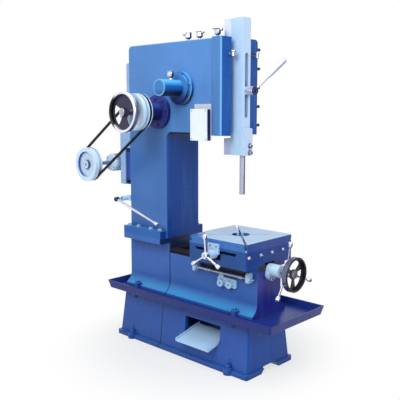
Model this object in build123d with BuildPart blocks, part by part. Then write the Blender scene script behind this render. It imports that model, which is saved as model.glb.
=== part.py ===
from build123d import *
from math import acos, atan2, cos, degrees, hypot, radians, sin, tan
import os

os.makedirs("parts", exist_ok=True)

# Slotting machine, in millimetres. +X is the front, -Y the belt side, z = 0 the floor,
# and the origin is the middle of the four foot bolts.

# Fits
running_gap = 0.05
slide_gap = 0.2
seat_gap = 0.3

# Stand: two hollow castings bolted end to end
stand_length = 1050
stand_width = 408
stand_height = 298
stand_wall = 22
stand_flange = 26
stand_corner = 14
stand_inset_x = 10
stand_inset_y = 17
stand_taper_x = 20
stand_taper_y = 28
stand_seam_x = -164
foot_bolt_spacing_x = 784
foot_bolt_spacing_y = 392
foot_bolt_radius = 9
foot_lug_radius = 28
foot_lug_height = 34
foot_pocket_height = 46
foot_pocket_wall = 10
tray_lug_radius = 24
tray_lug_height = 34
foot_arch_width = 156
foot_arch_height = 32
window_width = 266
window_height = 104
window_centre_x = 177
window_drop = 62

# Chute that leads the chips out of the window
chute_width = 250
chute_sheet = 4
chute_lip = 18
chute_slope = 14
chute_inner_y = -60
chute_outer_y = -257

# Chip tray
tray_length = 1274
tray_width = 485
tray_centre_x = 67
tray_depth = 47
tray_flare = 12
tray_wall = 8
tray_floor = 14
tray_corner = 10

# Bed: a rear casting under the column and a front casting with the ways
bed_back_x = -502
bed_seam_x = -150
bed_front_x = 509
bed_half_width = 102
bed_skirt_flare = 42
bed_skirt_radius = 70
bed_skirt_lip = 14
bed_rear_height = 309
bed_top_flange = 31
bed_front_height = 276
way_half_width = 106
way_height = 26
dovetail_angle = 60
trough_half_width = 55
trough_depth = 108
trough_end_wall = 24
bed_lug_radius = 22
bed_lug_height = 30
seam_bevel = 4

# Column and head: one C-shaped casting
column_back_x = -464
column_depth = 326.5
column_half_width = 134
column_foot_height = 45
column_foot_half_width = 180
column_foot_length = 325
head_top = 1772
head_bottom = 1270
head_front_x = 217
head_corner = 26
throat_radius = 38
casting_edge = 8

# Guide for the ram
guide_depth = 66.5
guide_half_width = 140
guide_top = 1777
guide_bottom = 1263
guide_edge = 5
guide_mouth_half_width = 60
gib_width = 20
gib_depth = 50
gib_screw_radius = 6
gib_screw_length = 28
gib_screw_inset = 9
gib_screw_count = 5
gib_top_bevel = 14

# Ram, tool head and tool bar
ram_slide_x = 225
ram_slide_depth = 31
ram_nose_depth = 82
ram_half_width = 31.5
ram_bottom = 1157
ram_top = 1876
tool_head_height = 145
tool_head_proud = 15
tool_head_cheek = 5
tool_head_wrap = 12
tool_head_bevel = 8
tool_block_height = 90
tool_block_gap = 11
tool_bar_radius = 15
tool_bar_length = 213
tool_bar_grip = 90
tool_bar_inset = 38
ram_slot_width = 27
ram_slot_depth = 22
ram_slot_rise = 55
ram_slot_length = 339
clamp_place = 0.42
clamp_radius = 24
clamp_length = 44
clamp_bolt_radius = 10
clamp_hub_radius = 23
clamp_hub_length = 20
clamp_lever_length = 315
clamp_lever_angle = 33
clamp_lever_root = 5
clamp_lever_tip = 12
clamp_bolt_end = 4

# Crank bearing and drive shaft bearing on the belt side of the head
crank_x = -12
crank_z = 1517
crank_flange_radius = 92
crank_flange = 20
crank_step_radius = 74
crank_step = 12
crank_barrel_radius = 45
crank_length = 172
drive_x = -199
drive_z = 1387
drive_flange_radius = 96
drive_flange = 20
drive_barrel_radius = 50
drive_barrel_length = 122
shaft_radius = 16
shaft_end_y = -412

# Pulleys and belt
belt_y = -286
belt_width = 13
belt_thickness = 9
belt_bevel = 4
groove_depth = 12
groove_side = 1.5
groove_taper = 1.8
groove_pitch = 24
pulley_radius = 102
main_pulley_back_y = -273
main_pulley_width = 66
motor_z = 1069
motor_pulley_back_y = -273
motor_pulley_width = 50
motor_shaft_radius = 12
pulley_hub_radius = 26

# Handwheel on the drive shaft
handwheel_y = -397
handwheel_radius = 113
handwheel_rim = 17
handwheel_rim_width = 30
handwheel_web = 8
handwheel_web_inset = 10
handwheel_opening_angle = 264
handwheel_opening_spread = 70
rim_bevel = 0.3
handwheel_hub_radius = 24
handwheel_hub_length = 34
handwheel_hub_recess = 7
handwheel_opening_arc = 84
front_opening_arc = 92
opening_margin = 7
opening_corner = 9

# Motor and what carries it
motor_end_y = -130
motor_length = 290
motor_radius = 55
motor_gap = 3
motor_end_radius = 51
motor_end_length = 16
motor_fin_count = 24
motor_fin_depth = 7
motor_fin_thickness = 4
motor_tail_length = 42
motor_foot_width = 60
motor_foot_length = 150
bracket_standoff = 134
bracket_depth = 47
bracket_half_width = 97
bracket_sheet = 10
bracket_bottom = 938
bracket_top = 1255
bracket_arm_height = 90
hinge_block_half_width = 86
hinge_block_height = 201
hinge_pin_radius = 9
hinge_pin_length = 204

# Rear cover, switch box, oil cups
rear_cover_sheet = 27
rear_cover_half_width = 128
rear_cover_bottom = 1276
rear_cover_top = 1677
rear_cover_corner = 12
switch_left_x = 90
switch_width = 121
switch_bottom = 1235
switch_height = 169
switch_depth = 39
switch_plate = 6
switch_plate_rise = 26
switch_cover = 6
switch_cover_lap = 2
switch_corner = 4
cup_stem_radius = 9
cup_stem = 9
cup_radius = 15
cup_height = 32
cup_lid_radius = 18
cup_lid = 6
guide_cup_lid_radius = 25
guide_cup_stem_radius = 5
guide_cup_reach = 20
guide_cup_radius = 8
guide_cup_height = 30
guide_cup_z = 1676
guide_cup_near_y = 66
guide_cup_far_y = 126
cup_inset = 105
cup_pitch = 85

# Shift lever behind the column
lever_x = -496
lever_z = 859
lever_boss_radius = 15
lever_boss_start_y = -70
lever_boss_end_y = -178
lever_shaft_radius = 9
lever_arm_y = -215
lever_hub_radius = 14
lever_hub_length = 26
lever_arm_length = 381
lever_arm_angle = 17
lever_arm_radius = 6
lever_knob_radius = 9
lever_knob_length = 26

# Saddle, cross slide and table
slide_back_x = 104
slide_front_x = 510
slide_half_width = 198
slide_corner = 8
saddle_height = 45
saddle_skirt = 6
saddle_lip_half_width = 135
saddle_lip = 18
cross_way_left_x = 167
cross_way_right_x = 427
cross_way_height = 15
cross_cavity_height = 31
cross_gib_width = 8
cross_slide_height = 47
table_thickness = 41
table_centre_x = 309
table_bore_radius = 51
table_slot_neck = 12
table_slot_head = 18
table_slot_depth = 32
table_slot_head_height = 12
table_land_leg = 125
table_land_drop = 2
screw_trough_half_width = 45
screw_trough_depth = 22
nut_trough_half_width = 42
nut_trough_height = 12
nut_length = 60
nut_half_width = 24
nut_wall = 14
long_screw_drop = 29
long_screw_radius = 10
long_screw_back_x = 20
cross_screw_x = 291
cross_screw_rise = 11
cross_screw_radius = 9
cross_screw_end_y = 150
cross_nut_far_y = -5
cross_nut_length = 40
cross_nut_rise = 12
gib_head_radius = 9
gib_head_length = 10
gib_head_count = 4
gib_head_spread = 0.485
gib_head_shift = 0.18
gib_head_rise = 18

# Bracket and star handle of the cross feed
cross_bracket_width = 76
cross_bracket_drop = 21
cross_bracket_plate = 12
cross_bracket_barrel_radius = 26
cross_bracket_barrel = 42
star_hub_radius = 19
star_hub_length = 26
cross_star_arm = 113
cross_star_angle = 93
star_end_gap = 1
star_arm_root = 6
star_arm_waist = 7
star_knob_radius = 12
star_knob_length = 28
star_knob_flare = 8

# Bearing and wheel of the long feed
screw_bearing_flange_radius = 38
screw_bearing_flange = 22
screw_bearing_drop = 20
screw_bearing_radius = 34
screw_bearing_length = 78
front_star_x = 606
front_star_hub = 30
front_star_arm = 173
front_star_angle = 104
front_star_tilt = 10
front_wheel_x = 668
front_wheel_radius = 92
front_rim = 11
front_rim_width = 32
front_opening_angle = 328
front_hub_radius = 20
front_web = 7
front_hub_recess = 8

# Feed shaft on the belt side of the bed
feed_y = -126
feed_z = 522
feed_radius = 6
feed_back_x = 64
feed_front_x = 505
feed_collar_radius = 9.5
feed_collar_length = 21
feed_collar_back_x = 161
feed_collar_pitch = 24
feed_stop_x = 403
feed_stop_length = 31
feed_bracket_bottom = 500
feed_bracket_back_width = 25
feed_bracket_back_height = 42
feed_bracket_front_width = 58
feed_bracket_front_height = 56
feed_bracket_cover = 4
feed_bracket_inset = 2
trip_left_x = 240
trip_width = 132
trip_bottom = 446
trip_height = 50
trip_plate = 12
trip_corner = 10
trip_tongue_x = 266
trip_tongue_width = 30
trip_tongue_height = 74
trip_lobe_x = 273
trip_lobe_pitch = 61
trip_lobe_rise = 19
trip_lobe_radius = 20
trip_lobe_depth = 32
trip_lobe_bore = 6

# Heights and places that follow from the sizes above
tray_base = stand_height
tray_rim = tray_base + tray_depth
bed_base = tray_base + tray_floor
skirt_half_width = bed_half_width + bed_skirt_flare
skirt_angle = degrees(acos(1 - bed_skirt_flare / bed_skirt_radius))
skirt_top = bed_base + bed_skirt_lip + bed_skirt_radius * sin(radians(skirt_angle))
bed_rear_top = bed_base + bed_rear_height
column_base = bed_rear_top + bed_top_flange
column_front_x = column_back_x + column_depth
column_foot_back_x = bed_seam_x - column_foot_length
way_top = bed_base + bed_front_height
way_bottom = way_top - way_height
way_undercut = way_height / tan(radians(dovetail_angle))
guide_front_x = head_front_x + guide_depth
ram_nose_x = ram_slide_x + ram_slide_depth
ram_front_x = ram_nose_x + ram_nose_depth
tool_head_top = ram_bottom + tool_head_height
ram_back_half_width = ram_half_width + ram_slide_depth / tan(radians(dovetail_angle))
tool_bar_x = ram_front_x + tool_head_proud - tool_bar_inset
groove_mouth = belt_width + 2 * groove_side
groove_floor = belt_width - groove_taper
tool_block_top = ram_bottom + tool_block_height
ram_slot_bottom = tool_head_top + ram_slot_rise
clamp_height = ram_slot_bottom + clamp_place * ram_slot_length
bracket_back_x = column_back_x - bracket_standoff
bracket_front_x = bracket_back_x + bracket_depth
motor_x = bracket_back_x - motor_radius - motor_gap
slide_length = slide_front_x - slide_back_x
slide_centre_x = (slide_back_x + slide_front_x) / 2
saddle_bottom = way_top - saddle_skirt
saddle_lip_bottom = saddle_bottom - saddle_lip
saddle_shoulder = way_top + saddle_height
cross_slide_top = saddle_shoulder + cross_slide_height
table_top = cross_slide_top + table_thickness
screw_trough_bottom = saddle_shoulder - screw_trough_depth
nut_trough_top = way_top + nut_trough_height
long_screw_z = way_top - long_screw_drop
nut_bottom = long_screw_z - long_screw_radius - nut_wall
cross_screw_z = saddle_shoulder + cross_screw_rise
cross_nut_top = cross_screw_z + cross_nut_rise
cross_bracket_end_y = -slide_half_width - cross_bracket_plate - cross_bracket_barrel


def disc_on_y(centre_x, centre_z, near_y, radius, length):
    """A round step whose near face is at near_y and which runs towards -Y."""
    with BuildPart() as step:
        with BuildSketch(Plane.XZ.offset(-near_y)):
            with Locations((centre_x, centre_z)):
                Circle(radius)
        extrude(amount=length)
    return step.part


def tapered_rod(plane, start, end, start_radius, end_radius):
    """A round bar that widens along the plane's x axis, with a bevelled end."""
    bevel = end_radius / 4
    with BuildPart() as rod:
        with BuildSketch(plane):
            with BuildLine():
                Polyline(
                    (start, 0),
                    (start, start_radius),
                    (end - bevel, end_radius),
                    (end, end_radius - bevel),
                    (end, 0),
                    close=True,
                )
            make_face()
        revolve(axis=Axis(plane.origin, plane.x_dir))
    return rod.part


def stand_half(keep, cavity_back_x, cavity_front_x):
    """One tapered hollow casting of the stand, open below."""
    body_length = stand_length - 2 * stand_inset_x
    body_width = stand_width - 2 * stand_inset_y
    cavity_length = cavity_front_x - cavity_back_x
    cavity_centre = (cavity_front_x + cavity_back_x) / 2
    with BuildPart() as half:
        with BuildSketch():
            RectangleRounded(stand_length, stand_width, stand_corner)
        extrude(amount=stand_flange)
        with BuildSketch(Plane.XY.offset(stand_flange)):
            RectangleRounded(body_length, body_width, stand_corner)
        with BuildSketch(Plane.XY.offset(stand_height)):
            RectangleRounded(body_length - 2 * stand_taper_x, body_width - 2 * stand_taper_y, stand_corner)
        loft()
        with BuildSketch():
            with GridLocations(foot_bolt_spacing_x, foot_bolt_spacing_y, 2, 2):
                Circle(foot_lug_radius)
        extrude(amount=foot_lug_height)
        lug_spacing_y = body_width - 2 * stand_taper_y
        with BuildSketch(Plane.XY.offset(stand_height - tray_lug_height)):
            with GridLocations(foot_bolt_spacing_x, lug_spacing_y, 2, 2):
                Circle(tray_lug_radius)
        extrude(amount=tray_lug_height)
        with BuildSketch():
            with Locations((cavity_centre, 0)):
                Rectangle(cavity_length, body_width - 2 * stand_wall)
        with BuildSketch(Plane.XY.offset(stand_height - stand_wall)):
            with Locations((cavity_centre, 0)):
                Rectangle(cavity_length, body_width - 2 * stand_taper_y - 2 * stand_wall)
        loft(mode=Mode.SUBTRACT)
        with BuildSketch(Plane.XY.offset(foot_lug_height)):
            with GridLocations(foot_bolt_spacing_x, foot_bolt_spacing_y, 2, 2):
                Circle(foot_lug_radius - foot_pocket_wall)
        extrude(amount=foot_pocket_height, mode=Mode.SUBTRACT)
        with BuildSketch():
            with GridLocations(foot_bolt_spacing_x, foot_bolt_spacing_y, 2, 2):
                Circle(foot_bolt_radius)
        extrude(amount=foot_lug_height, mode=Mode.SUBTRACT)
        with BuildSketch(Plane.YZ.offset(-stand_length / 2)):
            with BuildLine():
                Polyline(
                    (-foot_arch_width / 2, 0),
                    (-foot_arch_width / 2 + foot_arch_height, foot_arch_height),
                    (foot_arch_width / 2 - foot_arch_height, foot_arch_height),
                    (foot_arch_width / 2, 0),
                    close=True,
                )
            make_face()
        extrude(amount=stand_length, mode=Mode.SUBTRACT)
        split(bisect_by=Plane.YZ.offset(stand_seam_x), keep=keep)
    return half


stand_end_x = stand_length / 2 - stand_inset_x - stand_taper_x - stand_wall
stand_rear = stand_half(Keep.BOTTOM, -stand_end_x, stand_seam_x - stand_wall)
stand_front = stand_half(Keep.TOP, stand_seam_x + stand_wall, stand_end_x)

# Window in the belt side of the stand, its sill just under the chute
body_side_y = stand_width / 2 - stand_inset_y
window_sill = stand_height - window_drop - window_height
with BuildPart(mode=Mode.PRIVATE) as window_cut:
    with BuildSketch(Plane.XY.offset(window_sill)):
        with Locations((window_centre_x, -body_side_y)):
            Rectangle(window_width, 4 * (stand_wall + stand_taper_y))
    extrude(amount=window_height)
with BuildPart() as stand_front_open:
    add(stand_front.part)
    add(window_cut.part, mode=Mode.SUBTRACT)
stand_front = stand_front_open

# Chute: a folded sheet with two side lips, resting on the outer edge of the sill
slope_rise = tan(radians(chute_slope))
sill_side_y = -(body_side_y - stand_taper_y * (window_sill - stand_flange) / (stand_height - stand_flange))
chute_under = window_sill + seat_gap - slope_rise * sill_side_y
with BuildPart() as chip_chute:
    with BuildSketch(Plane.YZ.offset(window_centre_x - chute_width / 2)):
        with BuildLine():
            Polyline(
                (chute_outer_y, chute_under + slope_rise * chute_outer_y),
                (chute_inner_y, chute_under + slope_rise * chute_inner_y),
                (chute_inner_y, chute_under + slope_rise * chute_inner_y + chute_lip),
                (chute_outer_y, chute_under + slope_rise * chute_outer_y + chute_lip),
                close=True,
            )
        make_face()
    extrude(amount=chute_width)
    with BuildSketch(Plane.YZ.offset(window_centre_x - chute_width / 2 + chute_sheet)):
        with BuildLine():
            Polyline(
                (2 * chute_outer_y, chute_under + slope_rise * 2 * chute_outer_y + chute_sheet),
                (0, chute_under + chute_sheet),
                (0, chute_under + 2 * chute_lip),
                (2 * chute_outer_y, chute_under + slope_rise * 2 * chute_outer_y + 2 * chute_lip),
                close=True,
            )
        make_face()
    extrude(amount=chute_width - 2 * chute_sheet, mode=Mode.SUBTRACT)

# Chip tray: a flared dish between stand and bed
with BuildPart() as chip_tray:
    with BuildSketch(Plane.XY.offset(tray_base)):
        with Locations((tray_centre_x, 0)):
            RectangleRounded(tray_length - 2 * tray_flare, tray_width - 2 * tray_flare, tray_corner)
    with BuildSketch(Plane.XY.offset(tray_rim)):
        with Locations((tray_centre_x, 0)):
            RectangleRounded(tray_length, tray_width, tray_corner)
    loft()
    inner_flare = 2 * (tray_flare + tray_wall)
    with BuildSketch(Plane.XY.offset(bed_base)):
        with Locations((tray_centre_x, 0)):
            Rectangle(tray_length - inner_flare, tray_width - inner_flare)
    with BuildSketch(Plane.XY.offset(tray_rim)):
        with Locations((tray_centre_x, 0)):
            Rectangle(tray_length - 2 * tray_wall, tray_width - 2 * tray_wall)
    loft(mode=Mode.SUBTRACT)


def bed_body(back_x, front_x, top, seam_end):
    """A length of bed whose sides sweep out into a foot skirt, bevelled down the sides at the seam."""
    with BuildPart() as body:
        with BuildSketch(Plane.YZ.offset(back_x)):
            with BuildLine():
                flare = JernArc((bed_half_width, skirt_top), (0, -1), bed_skirt_radius, skirt_angle)
                Polyline(flare @ 1, (skirt_half_width, bed_base), (0, bed_base), (0, top))
                Polyline((0, top), (bed_half_width, top), flare @ 0)
            make_face()
        extrude(amount=front_x - back_x)
        mirror(about=Plane.XZ)
        seam_edges = body.faces().sort_by(Axis.X)[seam_end].edges()
        chamfer([edge for edge in seam_edges if abs(edge.center().Y) > bed_half_width - 1], seam_bevel)
    return body


# Rear bed casting, with the flange that the column is bolted to
with BuildPart() as bed_rear:
    add(bed_body(bed_back_x, bed_seam_x, bed_rear_top, -1).part)
    with BuildSketch(Plane.XY.offset(bed_rear_top)):
        with Locations(((column_foot_back_x + bed_seam_x) / 2, 0)):
            Rectangle(column_foot_length, 2 * column_foot_half_width)
    extrude(amount=bed_top_flange)
    with BuildSketch(Plane.XY.offset(bed_base)):
        with Locations((-foot_bolt_spacing_x / 2, skirt_half_width), (-foot_bolt_spacing_x / 2, -skirt_half_width)):
            Circle(bed_lug_radius)
    extrude(amount=bed_lug_height)

# Front bed casting, with dovetail ways and the trough of the long screw
with BuildPart() as bed_front:
    add(bed_body(bed_seam_x, bed_front_x, way_bottom, 0).part)
    with BuildSketch(Plane.YZ.offset(bed_seam_x)):
        with BuildLine():
            Polyline(
                (way_half_width - way_undercut, way_bottom),
                (way_half_width, way_top),
                (-way_half_width, way_top),
                (-way_half_width + way_undercut, way_bottom),
                close=True,
            )
        make_face()
    extrude(amount=bed_front_x - bed_seam_x)
    with BuildSketch(Plane.XY.offset(bed_base)):
        with Locations((foot_bolt_spacing_x / 2, skirt_half_width), (foot_bolt_spacing_x / 2, -skirt_half_width)):
            Circle(bed_lug_radius)
    extrude(amount=bed_lug_height)
    trough_length = bed_front_x - bed_seam_x - 2 * trough_end_wall
    with BuildSketch(Plane.XY.offset(way_top)):
        with Locations(((bed_front_x + bed_seam_x) / 2, 0)):
            Rectangle(trough_length, 2 * trough_half_width)
    extrude(amount=-trough_depth, mode=Mode.SUBTRACT)
    with BuildSketch(Plane.YZ.offset(bed_front_x)):
        with Locations((0, long_screw_z)):
            Circle(long_screw_radius + seat_gap)
    extrude(amount=-trough_end_wall, mode=Mode.SUBTRACT)

# Column and head casting
with BuildPart() as column:
    with BuildSketch(Plane.XZ):
        with BuildLine():
            Polyline(
                (column_back_x, column_base),
                (column_front_x, column_base),
                (column_front_x, head_bottom),
                (head_front_x, head_bottom),
                (head_front_x, head_top),
                (column_back_x, head_top),
                close=True,
            )
        make_face()
    extrude(amount=column_half_width, both=True)
    throat_edge = column.edges().filter_by(Axis.Y).sort_by_distance((column_front_x, 0, head_bottom))[0]
    fillet(throat_edge, throat_radius)
    crown_edge = column.edges().filter_by(Axis.Y).sort_by_distance((column_back_x, 0, head_top))[0]
    fillet(crown_edge, head_corner)
    fillet(column.edges().filter_by(Axis.Z).filter_by_position(Axis.X, column_back_x, column_front_x), casting_edge)
    with BuildSketch(Plane.XY.offset(column_base)):
        with Locations(((column_foot_back_x + bed_seam_x) / 2, 0)):
            Rectangle(column_foot_length, 2 * column_foot_half_width)
    extrude(amount=column_foot_height)

# Guide on the front of the head: a wide mouth, and behind it the dovetail channel that holds the ram
with BuildPart() as ram_guide:
    with BuildSketch(Plane.XY.offset(guide_bottom)):
        with Locations(((head_front_x + guide_front_x) / 2, 0)):
            Rectangle(guide_depth, 2 * guide_half_width)
    extrude(amount=guide_top - guide_bottom)
    near_edge = ram_guide.edges().filter_by(Axis.Z).sort_by_distance((guide_front_x, -guide_half_width, guide_top))[0]
    fillet(near_edge, guide_edge)
    channel_back_x = ram_slide_x - slide_gap
    channel_back = ram_back_half_width + slide_gap
    channel_neck = ram_half_width + slide_gap
    with BuildSketch(Plane.XY.offset(guide_bottom)):
        with BuildLine():
            Polyline(
                (channel_back_x, -channel_back),
                (channel_back_x, channel_back),
                (ram_slide_x, channel_back),
                (ram_nose_x, channel_neck),
                (ram_nose_x, guide_mouth_half_width),
                (guide_front_x, guide_mouth_half_width),
                (guide_front_x, -guide_mouth_half_width),
                (ram_nose_x, -guide_mouth_half_width),
                (ram_nose_x, -channel_neck),
                (ram_slide_x, -channel_back),
                close=True,
            )
        make_face()
    extrude(amount=guide_top - guide_bottom, mode=Mode.SUBTRACT)

# Gib strip on the far side of the guide, with its adjusting screws
gib_height = guide_top - guide_bottom
with BuildPart() as gib_strip:
    with BuildSketch(Plane.XY.offset(guide_bottom)):
        with Locations((guide_front_x - gib_depth / 2, guide_half_width + gib_width / 2)):
            Rectangle(gib_depth, gib_width)
    extrude(amount=gib_height)
    top_edge = gib_strip.faces().sort_by(Axis.Z)[-1].edges().sort_by(Axis.Y)[-1]
    chamfer(top_edge, gib_top_bevel)
    with BuildSketch(Plane.XZ.offset(-guide_half_width - gib_width)):
        with Locations((guide_front_x - gib_screw_inset, (guide_top + guide_bottom) / 2)):
            with GridLocations(1, gib_height / gib_screw_count, 1, gib_screw_count):
                RegularPolygon(gib_screw_radius, 6)
    extrude(amount=-gib_screw_length)


def slide_section(bottom, top):
    """A length of the ram's dovetail, which is widest at the back."""
    with BuildPart() as length:
        with BuildSketch(Plane.XY.offset(bottom)):
            with BuildLine():
                Polyline(
                    (ram_slide_x, -ram_back_half_width),
                    (ram_slide_x, ram_back_half_width),
                    (ram_nose_x, ram_half_width),
                    (ram_nose_x, -ram_half_width),
                    close=True,
                )
            make_face()
        extrude(amount=top - bottom)
    return length.part


# Ram: a dovetail behind and a narrow nose in front, with the clamp slot
with BuildPart() as ram:
    add(slide_section(tool_block_top + tool_block_gap, ram_top))
    with BuildSketch(Plane.XY.offset(tool_head_top)):
        with Locations((ram_nose_x + ram_nose_depth / 2, 0)):
            Rectangle(ram_nose_depth, 2 * ram_half_width)
    extrude(amount=ram_top - tool_head_top)
    with BuildSketch(Plane.YZ.offset(ram_front_x)):
        with Locations((0, ram_slot_bottom + ram_slot_length / 2)):
            SlotOverall(ram_slot_length, ram_slot_width, rotation=90)
    extrude(amount=-ram_slot_depth, mode=Mode.SUBTRACT)

# Tool head under the nose: a block that stands forward of it with a bevelled shoulder, a foot of
# the dovetail behind, and a bore for the tool bar
with BuildPart() as tool_head:
    head_block_depth = tool_head_wrap + tool_head_proud
    with BuildSketch(Plane.XY.offset(ram_bottom)):
        with Locations((ram_front_x - tool_head_wrap + head_block_depth / 2, 0)):
            Rectangle(head_block_depth, 2 * (ram_half_width + tool_head_cheek))
        with Locations((ram_nose_x + ram_nose_depth / 2, 0)):
            Rectangle(ram_nose_depth, 2 * ram_half_width)
    extrude(amount=tool_head_height)
    shoulder_edge = tool_head.faces().sort_by(Axis.Z)[-1].edges().sort_by(Axis.X)[-1]
    chamfer(shoulder_edge, tool_head_bevel)
    add(slide_section(ram_bottom, tool_block_top))
    with BuildSketch(Plane.XY.offset(ram_bottom)):
        with Locations((tool_bar_x, 0)):
            Circle(tool_bar_radius)
    extrude(amount=tool_bar_grip, mode=Mode.SUBTRACT)

with BuildPart() as tool_bar:
    with BuildSketch(Plane.XY.offset(ram_bottom - tool_bar_length)):
        with Locations((tool_bar_x, 0)):
            Circle(tool_bar_radius)
    extrude(amount=tool_bar_length + tool_bar_grip)

# Clamp that sets the stroke, in the slot of the ram
clamp_back_x = ram_front_x - ram_slot_depth
clamp_front_x = ram_front_x + clamp_length
with BuildPart() as stroke_clamp:
    with BuildSketch(Plane.YZ.offset(clamp_back_x)):
        with Locations((0, clamp_height)):
            Circle(clamp_bolt_radius)
    extrude(amount=ram_slot_depth)
    with BuildSketch(Plane.YZ.offset(ram_front_x)):
        with Locations((0, clamp_height)):
            Circle(clamp_radius)
    extrude(amount=clamp_length)
    with BuildSketch(Plane.YZ.offset(clamp_front_x)):
        with Locations((0, clamp_height)):
            Circle(clamp_bolt_radius)
    extrude(amount=clamp_hub_length + clamp_bolt_end)

# Lever that tightens the clamp
lever_hub_x = clamp_front_x + seat_gap
arm_x = lever_hub_x + clamp_hub_length / 2
with BuildPart() as clamp_lever:
    with BuildSketch(Plane.YZ.offset(lever_hub_x)):
        with Locations((0, clamp_height)):
            Circle(clamp_hub_radius)
    extrude(amount=clamp_hub_length)
    arm_direction = (0, cos(radians(clamp_lever_angle)), sin(radians(clamp_lever_angle)))
    arm_plane = Plane(origin=(arm_x, 0, clamp_height), x_dir=arm_direction, z_dir=(1, 0, 0))
    arm_start = (clamp_bolt_radius + clamp_hub_radius) / 2
    add(tapered_rod(arm_plane, arm_start, clamp_lever_length, clamp_lever_root, clamp_lever_tip))
    with BuildSketch(Plane.YZ.offset(lever_hub_x)):
        with Locations((0, clamp_height)):
            Circle(clamp_bolt_radius + running_gap)
    extrude(amount=clamp_hub_length, mode=Mode.SUBTRACT)

# Crank bearing: a stepped flange and a long barrel
with BuildPart() as crank_bearing:
    add(disc_on_y(crank_x, crank_z, -column_half_width, crank_flange_radius, crank_flange))
    add(disc_on_y(crank_x, crank_z, -column_half_width - crank_flange, crank_step_radius, crank_step))
    add(disc_on_y(crank_x, crank_z, -column_half_width, crank_barrel_radius, crank_length))

# Drive shaft bearing
with BuildPart() as shaft_bearing:
    add(disc_on_y(drive_x, drive_z, -column_half_width, drive_flange_radius, drive_flange))
    add(disc_on_y(drive_x, drive_z, -column_half_width, drive_barrel_radius, drive_barrel_length))
    with BuildSketch(Plane.XZ.offset(column_half_width + drive_flange / 2)):
        with Locations((drive_x, drive_z)):
            Circle(shaft_radius + running_gap)
    extrude(amount=drive_barrel_length, mode=Mode.SUBTRACT)

shaft_start_y = -column_half_width - drive_flange / 2 - seat_gap
with BuildPart() as drive_shaft:
    add(disc_on_y(drive_x, drive_z, shaft_start_y, shaft_radius, shaft_start_y - shaft_end_y))


def vee_pulley(centre_x, centre_z, back_y, width, groove_ys, bore_radius):
    """A grooved pulley on a shaft along Y, with a dished front face."""
    front_y = back_y - width
    axis_plane = Plane(origin=(centre_x, 0, centre_z), x_dir=(1, 0, 0), z_dir=(0, 0, 1))
    with BuildPart() as pulley:
        add(disc_on_y(centre_x, centre_z, back_y, pulley_radius, width))
        with BuildSketch(Plane.XZ.offset(-front_y)):
            with Locations((centre_x, centre_z)):
                Circle(pulley_radius - 2 * groove_depth)
                Circle(pulley_hub_radius, mode=Mode.SUBTRACT)
        extrude(amount=-width / 3, mode=Mode.SUBTRACT)
        with BuildSketch(axis_plane):
            for groove_y in groove_ys:
                with BuildLine():
                    Polyline(
                        (pulley_radius - groove_depth, groove_y - groove_floor / 2),
                        (pulley_radius, groove_y - groove_mouth / 2),
                        (pulley_radius + groove_depth, groove_y - belt_width),
                        (pulley_radius + groove_depth, groove_y + belt_width),
                        (pulley_radius, groove_y + groove_mouth / 2),
                        (pulley_radius - groove_depth, groove_y + groove_floor / 2),
                        close=True,
                    )
                make_face()
        revolve(axis=Axis((centre_x, 0, centre_z), (0, 1, 0)), mode=Mode.SUBTRACT)
        with BuildSketch(Plane.XZ.offset(-back_y)):
            with Locations((centre_x, centre_z)):
                Circle(bore_radius)
        extrude(amount=width, mode=Mode.SUBTRACT)
    return pulley


main_pulley = vee_pulley(
    drive_x, drive_z, main_pulley_back_y, main_pulley_width, (belt_y, belt_y - groove_pitch), shaft_radius
)

# Motor pulley and its shaft
with BuildPart() as motor_pulley:
    add(vee_pulley(motor_x, motor_z, motor_pulley_back_y, motor_pulley_width, (belt_y,), motor_shaft_radius).part)
    shaft_run = motor_end_y - seat_gap - motor_pulley_back_y + motor_pulley_width
    add(disc_on_y(motor_x, motor_z, motor_end_y - seat_gap, motor_shaft_radius, shaft_run))

# Belt: one closed loop round both pulleys, chamfered inside to a vee
belt_outer = pulley_radius - seat_gap
belt_inner = belt_outer - belt_thickness
centre_distance = hypot(drive_x - motor_x, drive_z - motor_z)
belt_angle = degrees(atan2(drive_z - motor_z, drive_x - motor_x))
belt_plane = Plane(
    origin=((drive_x + motor_x) / 2, belt_y + belt_width / 2, (drive_z + motor_z) / 2),
    x_dir=(cos(radians(belt_angle)), 0, sin(radians(belt_angle))),
    z_dir=(0, -1, 0),
)
with BuildPart() as drive_belt:
    with BuildSketch(belt_plane):
        SlotCenterToCenter(centre_distance, 2 * belt_outer)
        SlotCenterToCenter(centre_distance, 2 * belt_inner, mode=Mode.SUBTRACT)
    extrude(amount=belt_width)
    belt_sides = drive_belt.faces().filter_by(Axis.Y)
    chamfer([edge for side in belt_sides for edge in side.inner_wires()[0].edges()], belt_bevel)


def rim_ring(plane, outer_radius, rim, width):
    """A ring centred on the plane, bevelled round its outside."""
    with BuildPart() as ring:
        with BuildSketch(plane.offset(-width / 2)):
            Circle(outer_radius)
            Circle(outer_radius - rim, mode=Mode.SUBTRACT)
        extrude(amount=width)
        chamfer(ring.edges().filter_by(GeomType.CIRCLE).sort_by(SortBy.RADIUS)[-2:], rim * rim_bevel)
    return ring


handwheel_plane = Plane(origin=(drive_x, handwheel_y, drive_z), x_dir=(1, 0, 0), z_dir=(0, -1, 0))
handwheel_ring = rim_ring(handwheel_plane, handwheel_radius, handwheel_rim, handwheel_rim_width)
with BuildPart() as handwheel_rim_piece:
    add(handwheel_ring.part)


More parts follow.
